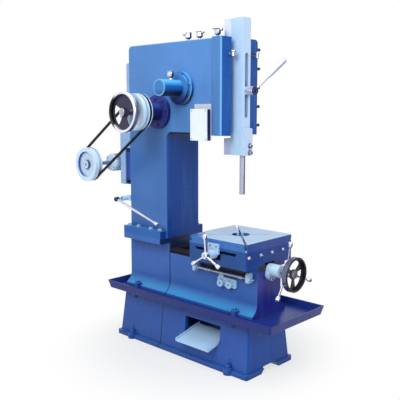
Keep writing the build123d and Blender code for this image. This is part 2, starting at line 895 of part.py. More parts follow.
def spoked_web(plane, radius, hub, thickness, opening_angles, opening_arc):
    """A thin disc between hub and rim, with curved openings centred at the given angles."""
    with BuildPart() as web:
        with BuildSketch(plane.offset(-thickness / 2)) as outline:
            Circle(radius)
            for angle in opening_angles:
                with BuildLine():
                    inner = CenterArc((0, 0), hub + opening_margin, angle - opening_arc / 2, opening_arc)
                    outer = CenterArc((0, 0), radius - opening_margin, angle - opening_arc / 2, opening_arc)
                    Line(inner @ 0, outer @ 0)
                    Line(inner @ 1, outer @ 1)
                make_face(mode=Mode.SUBTRACT)
            corners = [corner for corner in outline.vertices() if hypot(corner.X, corner.Y) < radius - 1]
            fillet(corners, opening_corner)
        extrude(amount=thickness)
    return web.part


# Handwheel centre: a web set back in the rim, with two openings, and the hub
handwheel_openings = (
    handwheel_opening_angle - handwheel_opening_spread,
    handwheel_opening_angle + handwheel_opening_spread,
)
handwheel_web_plane = handwheel_plane.offset(-handwheel_web_inset)
with BuildPart() as handwheel_centre:
    web_radius = handwheel_radius - handwheel_rim
    add(
        spoked_web(
            handwheel_web_plane,
            web_radius,
            handwheel_hub_radius,
            handwheel_web,
            handwheel_openings,
            handwheel_opening_arc,
        )
    )
    with BuildSketch(handwheel_plane.offset(-handwheel_hub_length / 2)):
        Circle(handwheel_hub_radius)
    extrude(amount=handwheel_hub_length - handwheel_hub_recess)
    with BuildSketch(handwheel_plane.offset(-handwheel_hub_length)):
        Circle(shaft_radius)
    extrude(amount=2 * handwheel_hub_length, mode=Mode.SUBTRACT)

# Motor: a barrel with fins along it, a plain end shield and a fan cover, and a foot against the bracket
with BuildPart() as motor:
    motor_back_y = motor_end_y + motor_length
    add(disc_on_y(motor_x, motor_z, motor_end_y + motor_end_length, motor_end_radius, motor_end_length))
    add(disc_on_y(motor_x, motor_z, motor_back_y, motor_radius, motor_tail_length))
    with BuildSketch(Plane.XZ.offset(-motor_back_y)):
        with Locations((motor_x, motor_z)):
            Circle(motor_radius - motor_fin_depth)
            with PolarLocations(motor_radius - motor_fin_depth, motor_fin_count):
                Rectangle(2 * motor_fin_depth, motor_fin_thickness)
    extrude(amount=motor_length - motor_end_length)
    foot_y = motor_end_y + motor_length / 2
    foot_reach = bracket_back_x - motor_x
    with BuildSketch(Plane.YZ.offset(motor_x)):
        with Locations((foot_y, motor_z)):
            Rectangle(motor_foot_length, motor_foot_width)
    extrude(amount=foot_reach)

# Motor bracket: a channel behind the column, its arms bolted to the column's back
with BuildPart() as motor_bracket:
    with BuildSketch(Plane.XY.offset(bracket_bottom)):
        with Locations(((bracket_back_x + bracket_front_x) / 2, 0)):
            Rectangle(bracket_depth, 2 * bracket_half_width)
        with Locations(((bracket_back_x + bracket_front_x) / 2 + bracket_sheet, 0)):
            Rectangle(bracket_depth, 2 * (bracket_half_width - bracket_sheet), mode=Mode.SUBTRACT)
    extrude(amount=bracket_top - bracket_bottom)
    with BuildSketch(Plane.XY.offset(bracket_top - bracket_arm_height)):
        with Locations(((bracket_back_x + column_back_x) / 2, 0)):
            Rectangle(column_back_x - bracket_back_x, 2 * bracket_half_width)
        with Locations(((bracket_back_x + column_back_x) / 2 + bracket_sheet, 0)):
            Rectangle(
                column_back_x - bracket_back_x, 2 * (bracket_half_width - bracket_sheet), mode=Mode.SUBTRACT
            )
    extrude(amount=bracket_arm_height)

# Hinge block between the channel and the column, and its pin
block_depth = column_back_x - bracket_back_x - bracket_sheet
pin_x = column_back_x - block_depth / 2
pin_z = bracket_bottom + 2 * hinge_pin_radius
with BuildPart() as hinge_block:
    with BuildSketch(Plane.XY.offset(bracket_bottom)):
        with Locations((column_back_x - block_depth / 2, 0)):
            Rectangle(block_depth, 2 * hinge_block_half_width)
    extrude(amount=hinge_block_height)
    add(disc_on_y(pin_x, pin_z, hinge_pin_length / 2, hinge_pin_radius, hinge_pin_length))

# Cover plate on the back of the head
with BuildPart() as rear_cover:
    with BuildSketch(Plane.YZ.offset(column_back_x - rear_cover_sheet)):
        with Locations((0, (rear_cover_top + rear_cover_bottom) / 2)):
            RectangleRounded(2 * rear_cover_half_width, rear_cover_top - rear_cover_bottom, rear_cover_corner)
    extrude(amount=rear_cover_sheet)

# Switch box: a back plate that stands up above the body, and a cover on the front
switch_face_y = -column_half_width - switch_depth
switch_body_width = switch_width - 2 * switch_cover_lap
with BuildPart() as switch_base:
    with BuildSketch(Plane.XZ.offset(column_half_width)):
        with Locations((switch_left_x + switch_width / 2, switch_bottom + (switch_height + switch_plate_rise) / 2)):
            RectangleRounded(switch_width, switch_height + switch_plate_rise, switch_corner)
    extrude(amount=switch_plate)
    with BuildSketch(Plane.XZ.offset(column_half_width)):
        with Locations((switch_left_x + switch_width / 2, switch_bottom + switch_height / 2)):
            Rectangle(switch_body_width, switch_height - 2 * switch_cover_lap)
    extrude(amount=switch_depth - switch_cover)
with BuildPart() as switch_cover_plate:
    with BuildSketch(Plane.XZ.offset(-switch_face_y - switch_cover)):
        with Locations((switch_left_x + switch_width / 2, switch_bottom + switch_height / 2)):
            RectangleRounded(switch_width, switch_height, switch_corner)
    extrude(amount=switch_cover)


def disc_on_z(centre_x, centre_y, base_z, radius, height):
    """A round step that stands on base_z."""
    with BuildPart() as step:
        with BuildSketch(Plane.XY.offset(base_z)):
            with Locations((centre_x, centre_y)):
                Circle(radius)
        extrude(amount=height)
    return step.part


# Oil cups: three on the head, one on the crank bearing, two on elbows on the front of the guide
cup_places = (
    (head_front_x - cup_pitch * 2.5, -cup_inset, head_top, cup_lid_radius),
    (head_front_x - cup_pitch * 1.5, -cup_inset, head_top, cup_lid_radius),
    (head_front_x + guide_depth / 3, -cup_inset, guide_top, guide_cup_lid_radius),
    (crank_x, -column_half_width - crank_length / 2, crank_z + crank_barrel_radius, cup_lid_radius),
)
with BuildPart() as oil_cups:
    for cup_x, cup_y, cup_z, lid_radius in cup_places:
        add(disc_on_z(cup_x, cup_y, cup_z, cup_stem_radius, cup_stem))
        add(disc_on_z(cup_x, cup_y, cup_z + cup_stem, cup_radius, cup_height))
        add(disc_on_z(cup_x, cup_y, cup_z + cup_stem + cup_height, lid_radius, cup_lid))
    for cup_y in (-guide_cup_near_y, guide_cup_far_y):
        with BuildSketch(Plane.YZ.offset(guide_front_x)):
            with Locations((cup_y, guide_cup_z + guide_cup_height / 2)):
                Circle(guide_cup_stem_radius)
        extrude(amount=guide_cup_reach)
        add(disc_on_z(guide_front_x + guide_cup_reach, cup_y, guide_cup_z, guide_cup_radius, guide_cup_height))

# Bracket and boss of the shift lever, on the back of the column
with BuildPart() as lever_bracket:
    add(disc_on_y(lever_x, lever_z, lever_boss_start_y, lever_boss_radius, lever_boss_start_y - lever_boss_end_y))
    with BuildSketch(Plane.XZ.offset(-lever_boss_start_y)):
        with Locations(((lever_x + column_back_x) / 2, lever_z)):
            Rectangle(column_back_x - lever_x, 2 * lever_boss_radius)
    extrude(amount=column_half_width + lever_boss_start_y)
    with BuildSketch(Plane.XZ.offset(-lever_boss_start_y)):
        with Locations((lever_x, lever_z)):
            Circle(lever_shaft_radius + running_gap)
    extrude(amount=lever_boss_start_y - lever_boss_end_y, mode=Mode.SUBTRACT)

# Shift lever: shaft, hub, sloping arm and knob
hub_near_y = lever_arm_y + lever_hub_length / 2
with BuildPart() as shift_lever:
    add(disc_on_y(lever_x, lever_z, lever_boss_start_y, lever_shaft_radius, lever_boss_start_y - hub_near_y))
    add(disc_on_y(lever_x, lever_z, hub_near_y, lever_hub_radius, lever_hub_length))
    arm_direction = (cos(radians(lever_arm_angle)), 0, -sin(radians(lever_arm_angle)))
    shift_plane = Plane(origin=(lever_x, lever_arm_y, lever_z), x_dir=(0, 1, 0), z_dir=arm_direction)
    with BuildSketch(shift_plane):
        Circle(lever_arm_radius)
    extrude(amount=lever_arm_length)
    with BuildSketch(shift_plane.offset(lever_arm_length - lever_knob_length)):
        Circle(lever_arm_radius)
    with BuildSketch(shift_plane.offset(lever_arm_length)):
        Circle(lever_knob_radius)
    loft()


def dovetail(left, right, low, high):
    """Corners of a dovetail that widens upwards, in the sketch plane."""
    widen = (high - low) / tan(radians(dovetail_angle))
    return (left, low), (left - widen, high), (right + widen, high), (right, low)


# Saddle on the bed ways, with the cross dovetail and the two screw troughs
way_neck = way_half_width - way_undercut
with BuildPart() as saddle:
    with BuildSketch(Plane.XY.offset(saddle_bottom)):
        with Locations((slide_centre_x, 0)):
            RectangleRounded(slide_length, 2 * slide_half_width, slide_corner)
    extrude(amount=saddle_shoulder - saddle_bottom)
    with BuildSketch(Plane.XY.offset(saddle_lip_bottom)):
        with Locations((slide_centre_x, 0)):
            Rectangle(slide_length, 2 * saddle_lip_half_width)
    extrude(amount=saddle_bottom - saddle_lip_bottom)
    with BuildSketch(Plane.XZ.offset(-slide_half_width)):
        with BuildLine():
            way_left_x = cross_way_left_x + slide_gap
            way_right_x = cross_way_right_x - cross_gib_width - slide_gap
            way_crest = saddle_shoulder + cross_way_height
            Polyline(*dovetail(way_left_x, way_right_x, saddle_shoulder, way_crest), close=True)
        make_face()
    extrude(amount=2 * slide_half_width)
    with BuildSketch(Plane.YZ.offset(slide_back_x)):
        with BuildLine():
            neck = way_neck + slide_gap
            Polyline(*dovetail(-neck, neck, way_bottom, way_top + slide_gap), close=True)
        make_face()
        with Locations((0, (way_bottom + saddle_lip_bottom) / 2)):
            Rectangle(2 * (way_neck + slide_gap), saddle_lip_bottom - way_bottom + 2 * slide_gap)
        with Locations((0, (way_top + nut_trough_top) / 2)):
            Rectangle(2 * nut_trough_half_width, nut_trough_top - way_top)
    extrude(amount=slide_length, mode=Mode.SUBTRACT)
    with BuildSketch(Plane.XZ.offset(-slide_half_width)):
        with Locations((cross_screw_x, (screw_trough_bottom + cross_slide_top) / 2)):
            Rectangle(2 * screw_trough_half_width, cross_slide_top - screw_trough_bottom)
    extrude(amount=2 * slide_half_width, mode=Mode.SUBTRACT)
    with BuildSketch(Plane.YZ.offset(cross_screw_x - nut_length / 2)):
        with Locations((0, (nut_bottom + screw_trough_bottom) / 2)):
            Rectangle(2 * nut_half_width, screw_trough_bottom - nut_bottom)
    extrude(amount=nut_length)
    with BuildSketch(Plane.YZ.offset(cross_screw_x - nut_length / 2)):
        with Locations((0, long_screw_z)):
            Circle(long_screw_radius + running_gap)
    extrude(amount=nut_length, mode=Mode.SUBTRACT)
    with BuildSketch(Plane.XZ.offset(-cross_nut_far_y)):
        with Locations((cross_screw_x, (screw_trough_bottom + cross_nut_top) / 2)):
            Rectangle(2 * nut_half_width, cross_nut_top - screw_trough_bottom)
    extrude(amount=cross_nut_length)
    with BuildSketch(Plane.XZ.offset(-cross_nut_far_y)):
        with Locations((cross_screw_x, cross_screw_z)):
            Circle(cross_screw_radius + running_gap)
    extrude(amount=cross_nut_length, mode=Mode.SUBTRACT)

# Cross slide, with the dovetail cavity
cavity_top = saddle_shoulder + cross_cavity_height
with BuildPart() as cross_slide:
    with BuildSketch(Plane.XY.offset(saddle_shoulder)):
        with Locations((slide_centre_x, 0)):
            RectangleRounded(slide_length, 2 * slide_half_width, slide_corner)
    extrude(amount=cross_slide_top - saddle_shoulder)
    with BuildSketch(Plane.XZ.offset(-slide_half_width)):
        with BuildLine():
            Polyline(*dovetail(cross_way_left_x, cross_way_right_x, saddle_shoulder, cavity_top), close=True)
        make_face()
    extrude(amount=2 * slide_half_width, mode=Mode.SUBTRACT)
    with BuildSketch(Plane.YZ.offset(slide_front_x)):
        with Locations((-gib_head_shift * slide_half_width, saddle_shoulder + gib_head_rise)):
            with GridLocations(gib_head_spread * slide_half_width, 1, gib_head_count, 1):
                Circle(gib_head_radius)
    extrude(amount=gib_head_length)

# Gib of the cross slide: a parallel strip against the front flank of the dovetail
gib_rise = cross_way_height - slide_gap
gib_shift = gib_rise / tan(radians(dovetail_angle))
with BuildPart() as cross_gib:
    with BuildSketch(Plane.XZ.offset(-slide_half_width)):
        with BuildLine():
            Polyline(
                (cross_way_right_x, saddle_shoulder + slide_gap),
                (cross_way_right_x + gib_shift, saddle_shoulder + slide_gap + gib_rise),
                (cross_way_right_x + gib_shift - cross_gib_width, saddle_shoulder + slide_gap + gib_rise),
                (cross_way_right_x - cross_gib_width, saddle_shoulder + slide_gap),
                close=True,
            )
        make_face()
    extrude(amount=2 * slide_half_width)

# Table: tee slots along both diagonals, a centre bore and a painted corner land
diagonal = 2 * hypot(slide_length, slide_half_width)
with BuildPart() as table:
    with BuildSketch(Plane.XY.offset(cross_slide_top)):
        with Locations((slide_centre_x, 0)):
            RectangleRounded(slide_length, 2 * slide_half_width, slide_corner)
    extrude(amount=table_top - cross_slide_top)
    with BuildSketch(Plane.XY.offset(table_top)):
        with Locations((table_centre_x, 0)):
            Rectangle(diagonal, table_slot_neck, rotation=45)
            Rectangle(diagonal, table_slot_neck, rotation=-45)
    extrude(amount=-table_slot_depth, mode=Mode.SUBTRACT)
    with BuildSketch(Plane.XY.offset(table_top - table_slot_depth)):
        with Locations((table_centre_x, 0)):
            Rectangle(diagonal, table_slot_head, rotation=45)
            Rectangle(diagonal, table_slot_head, rotation=-45)
    extrude(amount=table_slot_head_height, mode=Mode.SUBTRACT)
    with BuildSketch(Plane.XY.offset(table_top)):
        with Locations((table_centre_x, 0)):
            Circle(table_bore_radius)
    extrude(amount=cross_slide_top - table_top, mode=Mode.SUBTRACT)
    with BuildSketch(Plane.XY.offset(table_top)):
        with BuildLine():
            Polyline(
                (slide_back_x, -slide_half_width),
                (slide_back_x + table_land_leg, -slide_half_width),
                (slide_back_x, -slide_half_width + table_land_leg),
                close=True,
            )
        make_face()
    extrude(amount=-table_land_drop, mode=Mode.SUBTRACT)

# Bracket of the cross screw, on the belt side of the cross slide
with BuildPart() as cross_bracket:
    plate_top = table_top - cross_bracket_drop
    with BuildSketch(Plane.XZ.offset(slide_half_width)):
        with Locations((cross_screw_x, (cross_screw_z + plate_top) / 2)):
            Rectangle(cross_bracket_width, plate_top - cross_screw_z)
        with Locations((cross_screw_x, cross_screw_z)):
            Circle(cross_bracket_barrel_radius)
    extrude(amount=cross_bracket_plate)
    barrel_y = -slide_half_width - cross_bracket_plate
    add(disc_on_y(cross_screw_x, cross_screw_z, barrel_y, cross_bracket_barrel_radius, barrel_y - cross_bracket_end_y))
    with BuildSketch(Plane.XZ.offset(slide_half_width)):
        with Locations((cross_screw_x, cross_screw_z)):
            Circle(cross_screw_radius + running_gap)
    extrude(amount=2 * slide_half_width, mode=Mode.SUBTRACT)


def star_arm(plane, start, end):
    """A slender arm along the plane's x axis, with a flared knob at its end."""
    knob_start = end - star_knob_length
    with BuildPart() as arm:
        with BuildSketch(plane):
            with BuildLine():
                Polyline(
                    (start, 0),
                    (start, star_arm_root),
                    (knob_start, star_arm_waist),
                    (knob_start + star_knob_flare, star_knob_radius),
                    (end, star_knob_radius),
                    (end, 0),
                    close=True,
                )
            make_face()
        revolve(axis=Axis(plane.origin, plane.x_dir))
    return arm.part


def star_handle(hub_plane, hub_radius, hub_length, arm_length, first_angle, tilt, bore_radius):
    """A hub with three arms, tilted outwards; the plane's z axis points out of the machine."""
    arm_start = (bore_radius + hub_radius) / 2
    with BuildPart() as star:
        with BuildSketch(hub_plane):
            Circle(hub_radius)
            Circle(bore_radius, mode=Mode.SUBTRACT)
        extrude(amount=hub_length)
        for angle in (first_angle, first_angle + 120, first_angle + 240):
            around = hub_plane.x_dir * cos(radians(angle)) + hub_plane.y_dir * sin(radians(angle))
            outward = around * cos(radians(tilt)) + hub_plane.z_dir * sin(radians(tilt))
            origin = hub_plane.origin + hub_plane.z_dir * (hub_length / 2)
            arm = Plane(origin=origin, x_dir=outward, z_dir=outward.cross(around.cross(hub_plane.z_dir)))
            add(star_arm(arm, arm_start, arm_length))
    return star


star_near_y = cross_bracket_end_y - star_end_gap
cross_star_plane = Plane(origin=(cross_screw_x, star_near_y, cross_screw_z), x_dir=(1, 0, 0), z_dir=(0, -1, 0))
cross_star = star_handle(
    cross_star_plane, star_hub_radius, star_hub_length, cross_star_arm, cross_star_angle, 0, cross_screw_radius
)
cross_screw_run = cross_screw_end_y - star_near_y + star_hub_length
with BuildPart() as cross_screw:
    add(disc_on_y(cross_screw_x, cross_screw_z, cross_screw_end_y, cross_screw_radius, cross_screw_run))

# Bearing of the long screw on the front end of the bed
with BuildPart() as screw_bearing:
    with BuildSketch(Plane.YZ.offset(bed_front_x)):
        with Locations((0, long_screw_z - screw_bearing_drop)):
            Circle(screw_bearing_flange_radius)
        with Locations((0, long_screw_z)):
            Circle(screw_bearing_radius)
    extrude(amount=screw_bearing_flange)
    with BuildSketch(Plane.YZ.offset(bed_front_x)):
        with Locations((0, long_screw_z)):
            Circle(screw_bearing_radius)
    extrude(amount=screw_bearing_length)
    with BuildSketch(Plane.YZ.offset(bed_front_x)):
        with Locations((0, long_screw_z)):
            Circle(long_screw_radius + running_gap)
    extrude(amount=screw_bearing_length, mode=Mode.SUBTRACT)

# Long screw, star handle and wheel at the front
front_plane = Plane(origin=(front_star_x, 0, long_screw_z), x_dir=(0, 1, 0), z_dir=(1, 0, 0))
front_star = star_handle(
    front_plane, front_hub_radius, front_star_hub, front_star_arm, front_star_angle, front_star_tilt, long_screw_radius
)
wheel_plane = front_plane.offset(front_wheel_x - front_star_x)
hub_end = front_rim_width / 2 - front_hub_recess
hub_length = front_wheel_x + hub_end - front_star_x - front_star_hub
with BuildPart() as front_wheel:
    add(rim_ring(wheel_plane, front_wheel_radius, front_rim, front_rim_width).part)
    front_openings = (front_opening_angle, front_opening_angle + 120, front_opening_angle + 240)
    web_radius = front_wheel_radius - front_rim
    web_plane = wheel_plane.offset(-front_web)
    add(spoked_web(web_plane, web_radius, front_hub_radius, front_web, front_openings, front_opening_arc))
    with BuildSketch(wheel_plane.offset(hub_end)):
        Circle(front_hub_radius)
    extrude(amount=-hub_length)
    with BuildSketch(wheel_plane.offset(hub_end)):
        Circle(long_screw_radius)
    extrude(amount=-hub_length, mode=Mode.SUBTRACT)
with BuildPart() as long_screw:
    with BuildSketch(Plane.YZ.offset(long_screw_back_x)):
        with Locations((0, long_screw_z)):
            Circle(long_screw_radius)
    extrude(amount=front_wheel_x + hub_end - long_screw_back_x)

# Feed shaft with its collars and two brackets, beside the bed
with BuildPart() as feed_shaft:
    with BuildSketch(Plane.YZ.offset(feed_back_x)):
        with Locations((feed_y, feed_z)):
            Circle(feed_radius)
    extrude(amount=feed_front_x - feed_back_x)
    for collar_x, collar_length in (
        (feed_collar_back_x, feed_collar_length),
        (feed_collar_back_x + feed_collar_pitch, feed_collar_length),
        (feed_stop_x, feed_stop_length),
    ):
        with BuildSketch(Plane.YZ.offset(collar_x)):
            with Locations((feed_y, feed_z)):
                Circle(feed_collar_radius)
        extrude(amount=collar_length)
with BuildPart() as feed_brackets:
    bracket_reach = -feed_y + feed_collar_radius + feed_bracket_cover - bed_half_width
    for bracket_x, bracket_width, bracket_height in (
        (feed_back_x + feed_bracket_inset, feed_bracket_back_width, feed_bracket_back_height),
        (
            feed_front_x - feed_bracket_front_width - feed_bracket_inset,
            feed_bracket_front_width,
            feed_bracket_front_height,
        ),
    ):
        with BuildSketch(Plane.YZ.offset(bracket_x)):
            with Locations((-bed_half_width - bracket_reach / 2, feed_bracket_bottom + bracket_height / 2)):
                Rectangle(bracket_reach, bracket_height)
            with Locations((feed_y, feed_z)):
                Circle(feed_radius, mode=Mode.SUBTRACT)
        extrude(amount=bracket_width)

# Trip casting of the feed: a plate with an upright tongue and two bored lobes
with BuildPart() as trip_casting:
    with BuildSketch(Plane.XZ.offset(bed_half_width)):
        with Locations((trip_left_x + trip_width / 2, trip_bottom + trip_height / 2)):
            RectangleRounded(trip_width, trip_height, trip_corner)
        with Locations((trip_tongue_x, trip_bottom + trip_tongue_height / 2)):
            RectangleRounded(trip_tongue_width, trip_tongue_height, trip_corner)
    extrude(amount=trip_plate)
    with BuildSketch(Plane.XZ.offset(bed_half_width)):
        with Locations((trip_lobe_x + trip_lobe_pitch / 2, trip_bottom + trip_lobe_rise)):
            with GridLocations(trip_lobe_pitch, 1, 2, 1):
                Circle(trip_lobe_radius)
                Circle(trip_lobe_bore, mode=Mode.SUBTRACT)
    extrude(amount=trip_lobe_depth)

pieces = {
    "stand_rear": stand_rear,
    "stand_front": stand_front,
    "chip_chute": chip_chute,
    "chip_tray": chip_tray,
    "bed_rear": bed_rear,
    "bed_front": bed_front,
    "column": column,
    "ram_guide": ram_guide,
    "gib_strip": gib_strip,
    "ram": ram,
    "tool_head": tool_head,
    "tool_bar": tool_bar,
    "stroke_clamp": stroke_clamp,
    "clamp_lever": clamp_lever,
    "crank_bearing": crank_bearing,
    "shaft_bearing": shaft_bearing,
    "drive_shaft": drive_shaft,
    "main_pulley": main_pulley,
    "motor_pulley": motor_pulley,
    "drive_belt": drive_belt,
    "handwheel_rim": handwheel_rim_piece,
    "handwheel_centre": handwheel_centre,
    "motor": motor,
    "motor_bracket": motor_bracket,
    "hinge_block": hinge_block,
    "rear_cover": rear_cover,
    "switch_base": switch_base,
    "switch_cover": switch_cover_plate,
    "oil_cups": oil_cups,
    "lever_bracket": lever_bracket,
    "shift_lever": shift_lever,
    "saddle": saddle,
    "cross_slide": cross_slide,
    "cross_gib": cross_gib,
    "table": table,
    "cross_bracket": cross_bracket,
    "cross_screw": cross_screw,
    "cross_star": cross_star,
    "screw_bearing": screw_bearing,
    "long_screw": long_screw,
    "front_star": front_star,
    "front_wheel": front_wheel,
    "feed_shaft": feed_shaft,
    "feed_brackets": feed_brackets,
    "trip_casting": trip_casting,
}
for label, piece in pieces.items():
    piece.part.label = label
    export_step(piece.part, f"parts/{label}.step")
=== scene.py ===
import math
import bmesh
import bpy
from mathutils import Matrix, Vector


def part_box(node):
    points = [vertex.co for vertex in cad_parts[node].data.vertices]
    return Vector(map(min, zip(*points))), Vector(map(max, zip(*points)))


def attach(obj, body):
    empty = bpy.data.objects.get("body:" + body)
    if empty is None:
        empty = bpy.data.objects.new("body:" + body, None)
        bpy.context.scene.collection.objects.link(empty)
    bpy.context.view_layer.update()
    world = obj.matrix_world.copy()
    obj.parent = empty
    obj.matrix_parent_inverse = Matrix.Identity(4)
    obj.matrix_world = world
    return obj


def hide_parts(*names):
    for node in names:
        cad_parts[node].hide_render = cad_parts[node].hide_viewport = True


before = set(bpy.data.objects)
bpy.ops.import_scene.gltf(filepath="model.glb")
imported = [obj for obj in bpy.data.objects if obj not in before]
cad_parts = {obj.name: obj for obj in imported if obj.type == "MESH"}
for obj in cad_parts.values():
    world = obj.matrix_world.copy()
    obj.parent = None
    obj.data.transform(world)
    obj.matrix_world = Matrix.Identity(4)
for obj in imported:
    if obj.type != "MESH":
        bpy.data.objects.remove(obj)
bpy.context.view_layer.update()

# Slotting machine, in metres. +X is the front, -Y the belt side, z = 0 the floor.
up, down = (0, 0, 1), (0, 0, -1)
ahead, behind = (1, 0, 0), (-1, 0, 0)
near, far = (0, -1, 0), (0, 1, 0)
crank_centre = (-0.012, 0.0, 1.517)
drive_centre = (-0.199, 0.0, 1.387)
motor_centre = (-0.656, 0.0, 1.069)
guide_front_x = 0.2835


def srgb(red, green, blue):
    """A colour given as it looks on a screen, turned into the linear values that shaders use."""
    scaled = [channel / 255 for channel in (red, green, blue)]
    return tuple(c / 12.92 if c <= 0.04045 else ((c + 0.055) / 1.055) ** 2.4 for c in scaled)


def shade(colour, factor, lift=0.0):
    return tuple(min(1.0, c * factor + lift) for c in colour)


class Surface:
    """A material in the making: one principled shader and the nodes that feed it."""

    def __init__(self, name, edge_radius=0.0025):
        self.material = bpy.data.materials.new(name)
        self.material.use_nodes = True
        self.nodes = self.material.node_tree.nodes
        self.links = self.material.node_tree.links
        self.nodes.clear()
        out = self.nodes.new("ShaderNodeOutputMaterial")
        self.bsdf = self.nodes.new("ShaderNodeBsdfPrincipled")
        self.links.new(self.bsdf.outputs["BSDF"], out.inputs["Surface"])
        where = self.nodes.new("ShaderNodeTexCoord")
        self.place = where.outputs["Object"]
        self.facing = where.outputs["Normal"]
        self.rounded = self.nodes.new("ShaderNodeBevel")
        self.rounded.samples = 6
        self.rounded.inputs["Radius"].default_value = edge_radius

    def feed(self, socket, value):
        if isinstance(value, bpy.types.NodeSocket):
            self.links.new(value, socket)
        elif isinstance(value, tuple) and socket.type == "RGBA":
            socket.default_value = (*value, 1.0)
        else:
            socket.default_value = value

    def noise(self, scale, detail=4.0, rough=0.55, stretch=None):
        source = self.place
        if stretch:
            mapping = self.nodes.new("ShaderNodeMapping")
            mapping.inputs["Scale"].default_value = stretch
            self.feed(mapping.inputs["Vector"], self.place)
            source = mapping.outputs["Vector"]
        texture = self.nodes.new("ShaderNodeTexNoise")
        texture.inputs["Scale"].default_value = scale
        texture.inputs["Detail"].default_value = detail
        texture.inputs["Roughness"].default_value = rough
        self.feed(texture.inputs["Vector"], source)
        return texture.outputs["Fac"]

    def spread(self, value, low, high, to_low=0.0, to_high=1.0):
        node = self.nodes.new("ShaderNodeMapRange")
        for name, number in (("From Min", low), ("From Max", high), ("To Min", to_low), ("To Max", to_high)):
            node.inputs[name].default_value = number
        self.feed(node.inputs["Value"], value)
        return node.outputs["Result"]

    def sums(self, operation, first, second):
        node = self.nodes.new("ShaderNodeMath")
        node.operation = operation
        self.feed(node.inputs[0], first)
        self.feed(node.inputs[1], second)
        return node.outputs["Value"]

    def mix(self, factor, first, second):
        """Colours are mixed as colours, numbers as numbers."""
        colours = isinstance(first, tuple) or isinstance(second, tuple) or "RGBA" in (
            getattr(first, "type", ""), getattr(second, "type", "")
        )
        node = self.nodes.new("ShaderNodeMix")
        node.data_type = "RGBA" if colours else "FLOAT"
        kind = "RGBA" if colours else "VALUE"
        for name, value in (("A", first), ("B", second)):
            self.feed([s for s in node.inputs if s.name == name and s.type == kind][0], value)
        self.feed([s for s in node.inputs if s.name == "Factor" and s.type == "VALUE"][0], factor)
        return [s for s in node.outputs if s.type == kind][0]

    def part(self, vector, axis):
        node = self.nodes.new("ShaderNodeSeparateXYZ")
        self.feed(node.inputs["Vector"], vector)
        return node.outputs[axis]

    def ramp(self, axis, start, end):
        """0 up to the start and 1 past the end, along the axis."""
        return self.spread(self.part(self.place, axis), start, end)

    def above(self, axis, level, soft=0.0006):
        """1 where the coordinate is over the level."""
        return self.ramp(axis, level - soft, level + soft)

    def absolute(self, value):
        return self.sums("ABSOLUTE", value, 0.0)

    def towards(self, axis, low=0.5, high=0.7):
        """1 on the faces that look along the axis."""
        return self.spread(self.part(self.facing, axis), low, high)

    def away(self, axis, low=0.5, high=0.7):
        """1 on the faces that look against the axis."""
        return self.spread(self.part(self.facing, axis), -low, -high)

    def outside(self, axis, centre, radius, soft=0.0006):
        """1 where a point lies further from a line along the axis than the radius."""
        flat = self.nodes.new("ShaderNodeVectorMath")
        flat.operation = "MULTIPLY_ADD"
        mask = tuple(0.0 if name == axis else 1.0 for name in "XYZ")
        flat.inputs[1].default_value = mask
        flat.inputs[2].default_value = tuple(-c * m for c, m in zip(centre, mask))
        self.feed(flat.inputs[0], self.place)
        length = self.nodes.new("ShaderNodeVectorMath")
        length.operation = "LENGTH"
        self.feed(length.inputs[0], flat.outputs["Vector"])
        return self.spread(length.outputs["Value"], radius - soft, radius + soft)

    def inside(self, axis, centre, radius, soft=0.0006):
        """1 where a point lies nearer to that line than the radius."""
        return self.sums("SUBTRACT", 1.0, self.outside(axis, centre, radius, soft))

    def both(self, first, second):
        return self.sums("MULTIPLY", first, second)

    def edges(self):
        """1 on edges, where the rounded normal turns away from the face's own."""
        geometry = self.nodes.new("ShaderNodeNewGeometry")
        dot = self.nodes.new("ShaderNodeVectorMath")
        dot.operation = "DOT_PRODUCT"
        self.feed(dot.inputs[0], self.rounded.outputs["Normal"])
        self.feed(dot.inputs[1], geometry.outputs["Normal"])
        flat, turned = 0.99, 0.86
        return self.spread(dot.outputs["Value"], flat, turned)

    def corners(self, reach, deepest):
        """How far a point lies in a corner, patchily; used to darken corners as grime and painted shade."""
        shelter = self.nodes.new("ShaderNodeAmbientOcclusion")
        shelter.samples = 8
        shelter.inputs["Distance"].default_value = reach
        patches = self.spread(self.noise(14.0, detail=6.0), 0.3, 0.65, 0.55, 1.0)
        closed, open_sky = 0.35, 0.92
        return self.both(self.spread(shelter.outputs["AO"], closed, open_sky, deepest, 0.0), patches)

    def shade_by_facing(self, colour, front, top, under):
        """Painted light and shade by facing: a shaded colour on faces that look to the front and below, a lit
        colour on top.
        """
        base = self.mix(self.towards("X", 0.35, 0.8), colour, front)
        base = self.mix(self.towards("Z", 0.15, 0.8), base, top)
        return self.mix(self.away("Z", 0.02, 0.6), base, under)

